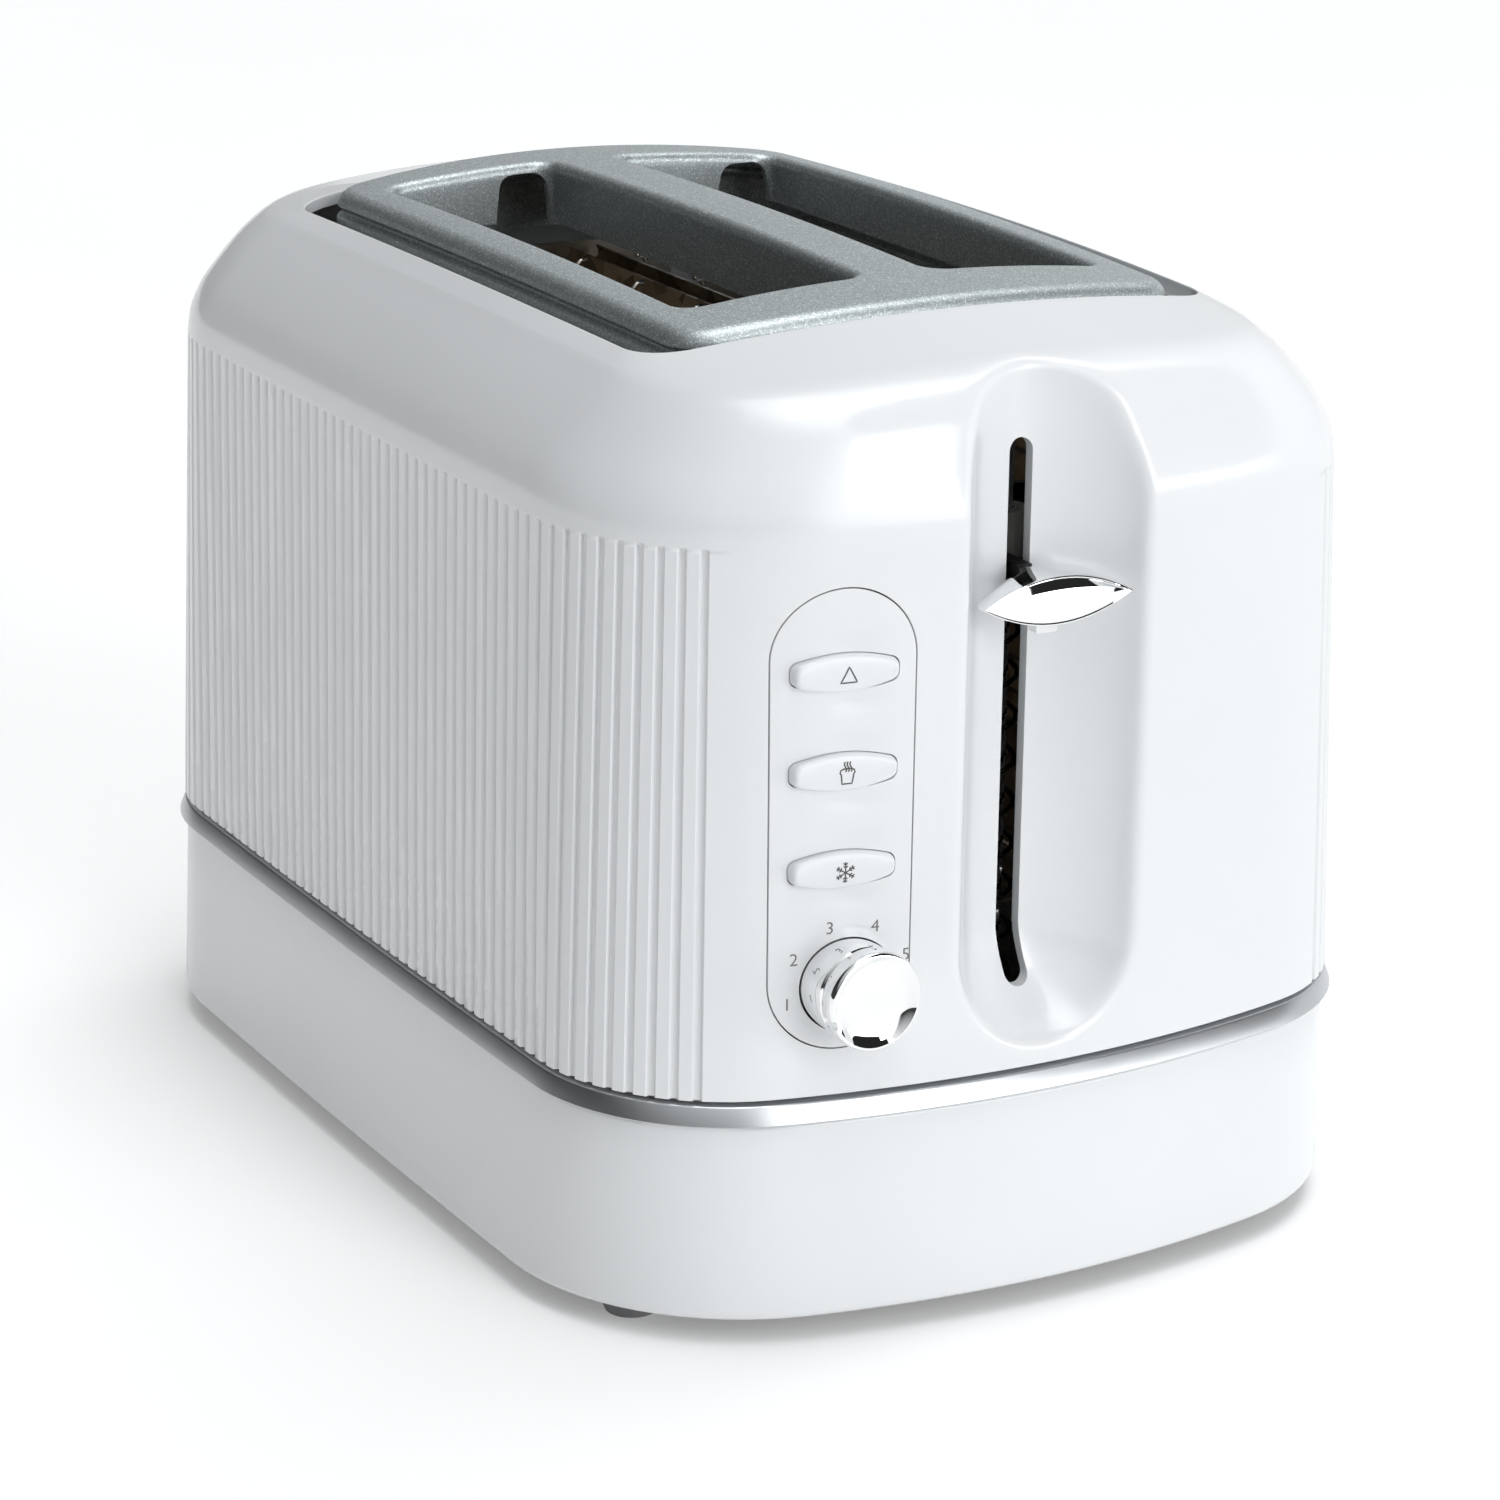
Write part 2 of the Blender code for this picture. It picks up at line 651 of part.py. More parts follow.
def dial(parent, looks):
    """Browning control: knob and shaft turn together, the potentiometer is fixed to the board."""
    centre = (DIAL_Y, DIAL_Z)
    knob = (
        (121.0, DIAL_RADIUS - 0.4),
        (121.4, DIAL_RADIUS),
        (132.4, DIAL_RADIUS),
        (133.8, DIAL_CAP_RADIUS),
        (136.0, DIAL_CAP_RADIUS),
        (136.9, DIAL_CAP_RADIUS - 0.9),
        (137.3, DIAL_CAP_RADIUS - 3.4),
        (DIAL_FRONT_X, DIAL_CAP_RADIUS - 7.2),
    )
    builder = turned("X", centre, knob, 36)
    notch = turned("X", (DIAL_Y - DIAL_CAP_RADIUS - 0.3, DIAL_Z - 1.0), ((133.0, 1.0), (144.0, 1.0)), 8)
    finish("dial_knob", cut(builder, notch), looks["chrome"], parent, origin=(DIAL_FRONT_X, *centre))
    shaft = turned("X", centre, ((115.0, 3.0), (120.7, 3.0)), 16)
    finish("dial_shaft", shaft, looks["steel"], parent, origin=(DIAL_FRONT_X, *centre))
    body = ((105.9, 8.0), (112.0, 8.0), (112.0, 4.5), (114.7, 4.5))
    finish("potentiometer", turned("X", centre, body, 20), looks["steel"], parent)


# Lift: lever, carriage, racks, rod, spring and latch


def lever_knob(parent, look):
    """Eye-shaped finger piece: two arcs meet in a tip at each side, with a ridge across the front."""
    half_width = 16.6
    half_height = 4.8
    steps = 10
    sections = (
        (118.6, 0.30, 0.80),
        (121.5, 0.62, 0.86),
        (126.0, 0.93, 0.96),
        (129.3, 1.0, 1.0),
        (130.2, 0.96, 0.93),
    )
    rings = []
    for x, wide, tall in sections:
        ring = []
        for turn in (1, -1):
            for step in range(steps):
                across = turn * math.cos(math.pi * step / steps)
                rise = turn * half_height * tall * (1 - across**2)
                ring.append((x, LEVER_Y + half_width * wide * across, REST_Z + rise))
        rings.append(ring)
    builder = bmesh.new()
    rows = [[builder.verts.new(point) for point in ring] for ring in rings]
    count = 2 * steps
    for lower, upper in zip(rows, rows[1:]):
        for index in range(count):
            after = (index + 1) % count
            builder.faces.new((lower[index], lower[after], upper[after], upper[index]))
    builder.faces.new(rows[0])
    front = rows[-1]
    ridge = [None] * (steps + 1)
    for step in range(1, steps):
        across = math.cos(math.pi * step / steps)
        x = 130.2 + 2.2 * (1 - across**2)
        ridge[step] = builder.verts.new((x, LEVER_Y + half_width * 0.96 * across, REST_Z + 0.4))
    ridge[0] = front[0]
    ridge[steps] = front[steps]
    upper_edge = front[: steps + 1]
    lower_edge = [front[0]] + front[:steps:-1] + [front[steps]]
    for row in (upper_edge, lower_edge):
        for index in range(steps):
            corners = []
            for vert in (row[index], row[index + 1], ridge[index + 1], ridge[index]):
                if vert not in corners:
                    corners.append(vert)
            builder.faces.new(corners)
    finish("lever_knob", builder, look, parent, origin=(ROD_X, ROD_Y, REST_Z))


def carriage(parent, looks):
    """Bracket on the guide rod. Racks and lever arm are fixed to it, and the armature hangs under it."""
    flange_bottom = REST_Z - 3.0
    flange_top = REST_Z - 1.0
    origin = (ROD_X, ROD_Y, REST_Z)
    wall = box((76.0, 78.0), (-34.0, 34.0), (flange_bottom, REST_Z + 8.0))
    flange = box((77.0, 101.0), (-26.0, 17.0), (flange_bottom, flange_top))
    hole = turned("Z", (ROD_X, ROD_Y), ((flange_bottom - 5, 5.8), (flange_top + 5, 5.8)), 20)
    finish("carriage_bracket", cut(join(wall, flange), hole), looks["steel"], parent, origin)
    bush = ((REST_Z - 8.0, 2.8), (REST_Z + 8.0, 2.8), (REST_Z + 8.0, 5.5), (REST_Z - 8.0, 5.5))
    finish("carriage_bush", tube("Z", (ROD_X, ROD_Y), bush, 20), looks["nylon"], parent, origin)
    arm = box((78.4, 120.0), (LEVER_Y - 1.5, LEVER_Y + 1.5), (flange_top + GAP, REST_Z + 7.0))
    arm = cut(arm, box((101.0, 122.0), (-10.0, 10.0), (REST_Z + 4.0, REST_Z + 12.0)))
    tongue = box((118.0, 121.0), (-10.0, 10.0), (REST_Z - 10.0, REST_Z + 12.0))
    finish("lever_arm", cut(arm, tongue), looks["black_metal"], parent, origin)
    armature = box((84.0, 100.0), (-24.0, -10.0), (flange_bottom - GAP - 4.6, flange_bottom - GAP))
    finish("latch_armature", armature, looks["steel"], parent, origin)
    for side, name in ((-1, "left"), (1, "right")):
        middle = side * SLOT_MIDDLE
        columns = [-79.0]
        for number in range(7):
            x = -60.0 + 20.0 * number
            columns += [x - 1.2, x + 1.2]
        columns.append(75.7)
        rows = [middle - 9.0, middle - 1.5, middle + 1.5, middle + 9.0]
        rack = lattice("Z", (REST_Z - 1.6, REST_Z), columns, rows, lambda i, j: j == 1 or i % 2 == 1)
        finish(f"lift_rack_{name}", rack, looks["steel"], parent, origin)


def return_spring(parent, look):
    """Open coil round the guide rod, from the mechanism base up to the carriage bush."""
    low = 17.4
    high = REST_Z - 8.6
    wire = 0.55
    radius = 4.4
    turns = 13
    per_turn = 10
    sides = 5
    rings = []
    count = turns * per_turn
    for step in range(count + 1):
        angle = 2 * math.pi * step / per_turn
        height = low + wire + (high - low - 2 * wire) * step / count
        centre = Vector((ROD_X + radius * math.cos(angle), ROD_Y + radius * math.sin(angle), height))
        outward = Vector((math.cos(angle), math.sin(angle), 0.0))
        ring = []
        for side in range(sides):
            turn = 2 * math.pi * side / sides
            lift = Vector((0, 0, wire * math.sin(turn)))
            ring.append(tuple(centre + outward * wire * math.cos(turn) + lift))
        rings.append(ring)
    finish("return_spring", skin(rings), look, parent, origin=(ROD_X, ROD_Y, low))


def mechanism(parent, looks):
    """The fixed pieces that the lift runs on and latches to, carried by the front plate."""
    seat = ROD_RADIUS + GAP
    low = box((73.4, 106.0), (-30.0, 40.0), (14.0, 16.0))
    low = cut(low, turned("Z", (ROD_X, ROD_Y), ((10.0, seat), (20.0, seat)), 16))
    finish("mechanism_base", low, looks["steel"], parent)
    top = box((73.4, 98.0), (ROD_Y - 7.0, ROD_Y + 7.0), (172.0, 173.6))
    top = cut(top, turned("Z", (ROD_X, ROD_Y), ((160.0, seat), (180.0, seat)), 16))
    finish("rod_bracket", top, looks["steel"], parent)
    rod = ((12.5, ROD_RADIUS - 0.5), (13.0, ROD_RADIUS), (174.6, ROD_RADIUS), (175.1, ROD_RADIUS - 0.5))
    finish("guide_rod", turned("Z", (ROD_X, ROD_Y), rod, 16), looks["chrome"], parent)
    core_top = REST_Z - 3.0 - GAP - 4.6 - 73.0 - 0.3
    core = lattice("X", (85.0, 99.0), (-24.0, -20.0, -14.0, -10.0), (16.3, 21.0, core_top),
                   lambda i, j: j == 0 or i != 1)
    finish("magnet_core", core, looks["steel"], parent)
    coil = box((82.0, 102.0), (-18.5, -5.5), (24.0, 52.0))
    coil = cut(coil, box((84.7, 99.3), (-14.3, -9.7), (20.0, 60.0)))
    finish("magnet_coil", coil, looks["copper"], parent)
    block = lattice("X", (80.0, 98.0), (22.0, 25.0, 33.0, 36.0), (16.3, 24.0, 40.0),
                    lambda i, j: j == 0 or i != 1)
    finish("power_switch", block, looks["black"], parent)


# Oven


def end_plate(name, parent, look, low, tray_gap):
    """A steel end of the oven with an upright slot for each rack; the rear one also lets the tray out."""
    arm = ARM_SLOT_WIDTH / 2
    columns = [-PLATE_HALF_WIDTH, -TRAY_OPENING_HALF_WIDTH, -SLOT_MIDDLE - arm, -SLOT_MIDDLE + arm,
               SLOT_MIDDLE - arm, SLOT_MIDDLE + arm, TRAY_OPENING_HALF_WIDTH, PLATE_HALF_WIDTH]
    rows = [PLATE_BOTTOM + PLATE_THICKNESS + GAP, OVEN_FLOOR, 60.0, 169.0, PLATE_TOP]

    def solid(i, j):
        if j == 0:
            return not tray_gap or i in (0, 6)
        return j != 2 or i not in (2, 4)

    finish(name, lattice("X", (low, low + PLATE_SHEET), columns, rows, solid), look, parent)


def oven(parent, looks):
    end_plate("front_plate", parent, looks["steel"], PLATE_X, tray_gap=False)
    end_plate("rear_plate", parent, looks["steel"], -PLATE_X - PLATE_SHEET, tray_gap=True)
    for side, name in ((-1, "left"), (1, "right")):
        faces = sorted((side * 55.0, side * 55.8))
        shield = box((-71.6, 71.6), faces, (OVEN_FLOOR, 172.0))
        finish(f"heat_shield_{name}", shield, looks["steel"], parent)
        for place, middle in (("inner", 3.4), ("outer", 51.6)):
            faces = sorted((side * (middle - 0.4), side * (middle + 0.4)))
            card = box((-69.0, 69.0), faces, (40.0, CARD_TOP))
            finish(f"element_card_{name}_{place}", card, looks["mica"], parent)


def bread_guards(parent, look):
    """Wire guards each side of each slice; they close in on it as the carriage goes down."""
    columns = [-64.0]
    for number in range(5):
        x = -55.5 + GUARD_PITCH * number
        columns += [x - GUARD_WIRE, x + GUARD_WIRE]
    columns.append(64.0)
    rows = []
    for height in (GUARD_BOTTOM, 112.0, 165.0):
        rows += [height, height + 2 * GUARD_WIRE]
    rows.append(GUARD_TOP)
    for side, name in ((-1, "left"), (1, "right")):
        for place, distance in (("inner", 8.5), ("outer", 46.4)):
            faces = sorted((side * (distance - 0.8), side * (distance + 0.8)))
            guard = lattice("Y", faces, columns, rows, lambda i, j: j % 2 == 0 or i % 2 == 1)
            origin = (0.0, side * distance, GUARD_BOTTOM)
            finish(f"bread_guard_{name}_{place}", guard, look, parent, origin)


# Crumb tray and cord inlet


def crumb_tray(parent, looks):
    half = TRAY_HALF_WIDTH
    outer = box((TRAY_REAR_X, TRAY_FRONT_X), (-half, half), (TRAY_BOTTOM, TRAY_TOP))
    inner = box((TRAY_REAR_X + 1.0, TRAY_FRONT_X - 1.0), (1.0 - half, half - 1.0), (TRAY_BOTTOM + 1.0, 40.0))
    tray = cut(outer, inner)
    wall_heights = (TRAY_OPENING[0] + GAP, TRAY_OPENING[1] - GAP)
    wall = common(skirt_solid(), box((-150.0, -100.0), (-half, half), wall_heights))
    wall = cut(wall, box((TRAY_REAR_X - GAP, 0.0), (-80.0, 80.0), (0.0, 60.0)))
    grip = box((-136.3, -128.0), (-20.0, 20.0), (TRAY_OPENING[0] + 1.0, TRAY_OPENING[0] + 4.0))
    origin = (TRAY_REAR_X, 0.0, TRAY_BOTTOM)
    finish("crumb_tray", tray, looks["tin"], parent, origin)
    finish("crumb_tray_handle", join(wall, grip), looks["white"], parent, origin)


def gland_cylinder(radius, inner, outer):
    """A cylinder along X at the cord inlet, between two distances outwards from the rear wall."""
    profile = ((GLAND_WALL_X - inner, radius), (GLAND_WALL_X - outer, radius))
    return turned("X", (GLAND_Y, GLAND_Z), profile, 16)


def cord_gland(parent, look):
    body = join(gland_cylinder(7.6, 0.8, 3.4), gland_cylinder(5.6, -8.0, 1.0))
    finish("cord_gland", cut(body, gland_cylinder(3.6, -20.0, 20.0)), look, parent)


def main():
    clear_scene()
    assembly = bpy.data.objects.new("toaster", None)
    bpy.context.scene.collection.objects.link(assembly)
    assembly.location = (ASSEMBLY_X * MM, 0.0, 0.0)
    looks = {
        "white": material("white_plastic", WHITE, 0.22, 0.0),
        "silver": material("silver_paint", SILVER, 0.38, 0.6),
        "steel": material("plated_steel", STEEL, 0.35, 1.0),
        "tin": material("tray_steel", STEEL, 0.30, 1.0),
        "chrome": material("chrome", CHROME, 0.06, 1.0),
        "black_metal": material("black_steel", DARK_STEEL, 0.45, 0.8),
        "black": material("black_plastic", BLACK, 0.5, 0.0),
        "rubber": material("grey_rubber", (0.10, 0.10, 0.105), 0.8, 0.0),
        "mica": material("mica", MICA, 0.6, 0.0),
        "copper": material("copper_coil", COPPER, 0.4, 0.9),
        "board": material("circuit_board", BOARD_GREEN, 0.5, 0.0),
        "nylon": material("nylon", NYLON, 0.5, 0.0),
    }
    upper_shell(assembly, looks["white"])
    trim_band(assembly, looks["chrome"])
    base_skirt(assembly, looks["white"])
    bottom_plate(assembly, looks["black"])
    feet(assembly, looks["rubber"])
    base_screws(assembly, looks["steel"])
    slot_frame(assembly, looks["silver"])
    control_bezel(assembly, looks["white"])
    buttons(assembly, looks["white"])
    control_board(assembly, looks)
    dial(assembly, looks)
    lever_knob(assembly, looks["chrome"])
    carriage(assembly, looks)
    return_spring(assembly, looks["steel"])
    mechanism(assembly, looks)
    oven(assembly, looks)
    bread_guards(assembly, looks["steel"])
    crumb_tray(assembly, looks)
    cord_gland(assembly, looks["black"])


main()
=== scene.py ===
"""The looks of the two-slot toaster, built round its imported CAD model.

Shapes are worked out in millimetres in the body's own frame, where x = 0 is the middle of the body, and are
turned into metres in the row frame by `to_world`.
"""

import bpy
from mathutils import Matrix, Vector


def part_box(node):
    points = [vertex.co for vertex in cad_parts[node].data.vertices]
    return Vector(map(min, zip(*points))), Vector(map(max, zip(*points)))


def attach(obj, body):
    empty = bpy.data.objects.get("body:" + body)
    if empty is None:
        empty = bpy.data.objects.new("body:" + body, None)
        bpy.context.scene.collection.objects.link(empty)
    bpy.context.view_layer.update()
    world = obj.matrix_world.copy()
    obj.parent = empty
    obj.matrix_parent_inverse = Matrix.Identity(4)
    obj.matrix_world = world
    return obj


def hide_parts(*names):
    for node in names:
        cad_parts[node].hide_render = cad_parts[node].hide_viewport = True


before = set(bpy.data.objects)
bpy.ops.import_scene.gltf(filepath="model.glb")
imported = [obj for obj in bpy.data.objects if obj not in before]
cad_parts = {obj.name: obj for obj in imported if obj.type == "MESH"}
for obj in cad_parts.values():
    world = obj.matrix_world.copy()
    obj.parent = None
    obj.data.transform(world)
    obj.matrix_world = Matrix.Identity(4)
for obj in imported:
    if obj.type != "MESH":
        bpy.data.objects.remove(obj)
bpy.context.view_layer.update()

import math

import bmesh
import bpy
import numpy as np
from mathutils import Quaternion, Vector

MM = 0.001
trim_low, trim_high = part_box("trim_band")
BODY_X = (trim_low.x + trim_high.x) / 2


def node_box(name):
    """A CAD node's lowest and highest corners, in millimetres in the body's own frame."""
    shift = Vector((BODY_X, 0.0, 0.0))
    return [(corner - shift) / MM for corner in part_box(name)]


# Heights of the casing, read from the frame.
SHELL_BOTTOM = node_box("upper_shell")[0].z
TRIM_LOW, TRIM_HIGH = [corner.z for corner in node_box("trim_band")]
SKIRT_LOW, SKIRT_HIGH = [corner.z for corner in node_box("base_skirt")]
FRAME_LOW = node_box("slot_frame")[0].z

# Plan sections of the casing: height, half length, half width, corner radius, end bow, crown, arch.
SIDE_BOW = 1.7
WALL = 2.4
RIB_TOP = 156.5
STRAIGHT = (
    (SHELL_BOTTOM, 130.9, 88.6, 39.8, 16.9, 0.0, 0.0),
    (RIB_TOP, 131.3, 87.2, 49.5, 17.5, 0.0, 0.0),
)
SHOULDER = (
    (160.5, 131.0, 86.6, 49.5, 17.3, 0.2, 0.1),
    (165.3, 129.4, 84.7, 48.5, 16.8, 0.8, 0.3),
    (170.3, 126.9, 81.0, 46.5, 16.0, 1.8, 0.6),
    (175.8, 123.6, 75.5, 43.0, 14.8, 3.2, 1.0),
    (179.3, 118.5, 71.5, 38.0, 13.0, 4.1, 1.3),
    (181.6, 106.0, 68.9, 26.0, 10.0, 4.8, 1.5),
)
RIM = (184.0, 88.8, 65.2, 11.5, 6.5, 5.6, 1.8)
SKIRT = (
    (SKIRT_LOW, 133.3, 91.4, 50.5, 18.3, 0.0, 0.0),
    (SKIRT_HIGH, 131.2, 88.6, 42.5, 17.0, 0.0, 0.0),
)
TRIM = (
    (TRIM_LOW, 132.5, 90.0, 42.7, 17.0, 0.0, 0.0),
    (TRIM_HIGH, 132.5, 90.0, 42.7, 17.0, 0.0, 0.0),
)

# The hole for the cord's bush, in the rear of the skirt.
CORD_HOLE_RADIUS = 6.0

# Ribs: upright grooves round both long sides and all four corners.
RIB_PITCH = 4.33
RIB_START = 72.4
GROOVE_HALF = 1.0
GROOVE_DEPTH = 0.9

# Lever channel.
LEVER_Y = -1.5
CHANNEL_MOUTH_X = 131.2
CHANNEL_HALF_WIDTH = 19.6
CHANNEL_DEPTH = 16.3
CHANNEL_POWER = 1.5
CHANNEL_FLOOR_Z = 74.0
CHANNEL_FILLET = 2.2
LEVER_SLOT_HALF = 2.6
LEVER_SLOT_BOTTOM = 62.0
LEVER_SLOT_TOP = 170.0
REST_Z = 142.0

# Control panel.
PANEL_Y = -45.3
PANEL_HALF_WIDTH = 13.9
PANEL_BOTTOM = 59.0
PANEL_TOP = 149.2
PANEL_GAP = 0.3
BUTTON_HEIGHTS = (133.0, 113.9, 94.8)
BUTTON_NAMES = ("cancel", "reheat", "defrost")
BUTTON_HALF_WIDTH = 10.3
BUTTON_HALF_HEIGHT = 3.6
BUTTON_END_HALF_HEIGHT = 1.9
BUTTON_FACE_X = 127.6
BUTTON_FACE_SLOPE = 0.11
BUTTON_BACK_X = 119.0
BUTTON_EDGE = 0.7
BUTTON_GAP = 0.15
CUT_THROUGH = (100.0, 150.0)
PRINT_ABOVE = 0.05
PRINT_BELOW = 0.1
DIAL_LOW, DIAL_HIGH = node_box("dial_knob")
DIAL_Y = -43.5
DIAL_Z = 71.6
DIAL_RADIUS = 9.3
DIAL_CAP_RADIUS = 9.8
DIAL_GAP = 0.2
NUMBER_RADIUS = 12.2

# Slot frame.
FRAME = (0.0, 88.1, 57.4, 10.0, 6.2, 5.6, 1.8)
FRAME_TOP = 185.8
COLLAR_BOTTOM = 179.0
SLOT_FRONT_X = 65.6
SLOT_REAR_X = -70.0
SLOT_CORNER = 4.0
SLOT_LIP = 2.2
FRAME_SHEET = 1.4
COLLAR_SHEET = 1.2
SLOT_INNER = 8.1
SLOT_OUTER = 46.8
SLOT_MIDDLE = (SLOT_INNER + SLOT_OUTER) / 2
SLOT_HALF_WIDTH = (SLOT_OUTER - SLOT_INNER) / 2

# Studio: how much the floor glows, and the sky as (direction, start, end, low, high) parts.
FLOOR_GLOW = 0.23
SKY_LOBES = (
    ((0.0, 0.0, 1.0), 0.0, 1.0, 0.05, 0.0),
    ((0.0, 0.9, 0.4), -0.05, 0.9, 0.0, 0.85),
    ((0.5, -0.25, 0.85), 0.6, 0.98, 0.0, 0.7),
    ((1.0, 0.6, 0.3), 0.76, 0.99, 0.0, 3.7),
    ((0.2, 0.3, 0.93), 0.8, 0.99, 0.0, 4.0),
    ((0.45, 0.6, 0.65), 0.85, 0.88, 0.0, -8.0),
)


# Meshes


def to_world(points):
    """Millimetres in the body's own frame to metres in the row frame."""
    moved = np.array(points, float) * MM
    moved[..., 0] += BODY_X
    return moved


def new_object(name, points, faces, merge=0.0):
    """An object from millimetre points, with its faces turned outwards."""
    mesh = bpy.data.meshes.new(name)
    mesh.from_pydata(to_world(points).tolist(), [], faces)
    made = bpy.data.objects.new(name, mesh)
    bpy.context.scene.collection.objects.link(made)
    builder = bmesh.new()
    builder.from_mesh(mesh)
    if merge:
        bmesh.ops.remove_doubles(builder, verts=builder.verts, dist=merge * MM)
    bmesh.ops.recalc_face_normals(builder, faces=builder.faces)
    builder.to_mesh(mesh)
    builder.free()
    return made


def join_parts(parts):
    """One (points, faces) pair from several."""
    points = []
    faces = []
    for part_points, part_faces in parts:
        start = len(points)
        points += [tuple(point) for point in part_points]
        faces += [[index + start for index in face] for face in part_faces]
    return points, faces


def grid_faces(rows, columns, wrap_rows=False, wrap_columns=True):
    """Four-sided faces between the points of a grid, numbered row by row."""
    faces = []
    for i in range(rows if wrap_rows else rows - 1):
        for j in range(columns if wrap_columns else columns - 1):
            a = i * columns + j
            b = i * columns + (j + 1) % columns
            c = ((i + 1) % rows) * columns + (j + 1) % columns
            d = ((i + 1) % rows) * columns + j
            faces.append((a, b, c, d))
    return faces


def loft(rings, closed=False):
    """Skins equal rings into one solid: a closed loop of rings, or an open one with flat ends."""
    points = np.array(rings, float)
    rows, columns = points.shape[:2]
    faces = grid_faces(rows, columns, wrap_rows=closed)
    if not closed:
        faces.append(tuple(range(columns)))
        faces.append(tuple((rows - 1) * columns + j for j in range(columns)))
    return points.reshape(-1, 3).tolist(), faces


def quarter_arc(steps):
    """(1 - cos, 1 - sin) at even angles from 0 to 90 degrees."""
    angles = [math.radians(90 * step / steps) for step in range(steps + 1)]
    return [(1 - math.cos(angle), 1 - math.sin(angle)) for angle in angles]


def prism(outline, low, high, axis="X"):
    """A straight bar along X or Y, with an outline of (y, z) or (x, z) points."""
    rings = []
    for along in (low, high):
        rings.append([(along, u, v) if axis == "X" else (u, along, v) for u, v in outline])
    return loft(rings)


def turned(axis, centre, profile, sides=48, closed=False):
    """A solid of revolution about X or Z from (position along the axis, radius) pairs."""
    angles = np.linspace(0, 2 * math.pi, sides, endpoint=False)
    rings = []
    for along, radius in profile:
        u = centre[0] + radius * np.cos(angles)
        v = centre[1] + radius * np.sin(angles)
        w = np.full(sides, along)
        rings.append(np.stack((w, u, v) if axis == "X" else (u, v, w), axis=-1))
    return loft(rings, closed)


def directions(path, closed=False):
    """The unit direction of travel at each point of a path."""
    count = len(path)
    found = []
    for index in range(count):
        before = path[index - 1] if index or closed else path[0]
        after = path[(index + 1) % count] if index + 1 < count or closed else path[-1]
        found.append((after - before).normalized())
    return found


def wire(path, radius, sides=10):
    """A round wire along 3-D points."""
    path = [Vector(point) for point in path]
    rings = []
    side = None
    for point, along in zip(path, directions(path)):
        if side is None:
            start = Vector((0, 0, 1)) if abs(along.z) < 0.9 else Vector((1, 0, 0))
            side = along.cross(start).normalized()
        side = (side - along * side.dot(along)).normalized()
        other = along.cross(side)
        ring = []
        for step in range(sides):
            angle = 2 * math.pi * step / sides
            ring.append(tuple(point + (side * math.cos(angle) + other * math.sin(angle)) * radius))
        rings.append(ring)
    return loft(rings)


def carve(base, cutters, operation="DIFFERENCE"):
    """Applies exact booleans to an object, one for each (points, faces) cutter."""
    for points, faces in cutters:
        cutter = new_object("cutter", points, faces)
        modifier = base.modifiers.new("cut", "BOOLEAN")
        modifier.operation = operation
        modifier.object = cutter
        bpy.context.view_layer.update()
        evaluated = base.evaluated_get(bpy.context.evaluated_depsgraph_get())
        result = bpy.data.meshes.new_from_object(evaluated)
        base.modifiers.clear()
        base.data = result
        bpy.data.objects.remove(cutter)


def settle(piece, look, body, replaced=(), angle=35):
    """Finishes a piece: shading, material, the body it rides on and the CAD nodes it stands for."""
    mesh = piece.data
    mesh.shade_smooth()
    mesh.set_sharp_from_angle(angle=math.radians(angle))
    mesh.materials.clear()
    mesh.materials.append(look)
    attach(piece, body)
    if replaced:
        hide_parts(*replaced)


# Materials


def add_node(tree, kind, **settings):
    """A node with the given attributes."""
    node = tree.nodes.new(kind)
    for name, value in settings.items():
        setattr(node, name, value)
    return node


def spread(tree, value, low, high, start=0.3, end=0.7):
    """Maps a value between start and end to the range low..high."""
    node = tree.nodes.new("ShaderNodeMapRange")
    for name, number in (("From Min", start), ("From Max", end), ("To Min", low), ("To Max", high)):
        node.inputs[name].default_value = number
    tree.links.new(value, node.inputs["Value"])
    return node.outputs["Result"]


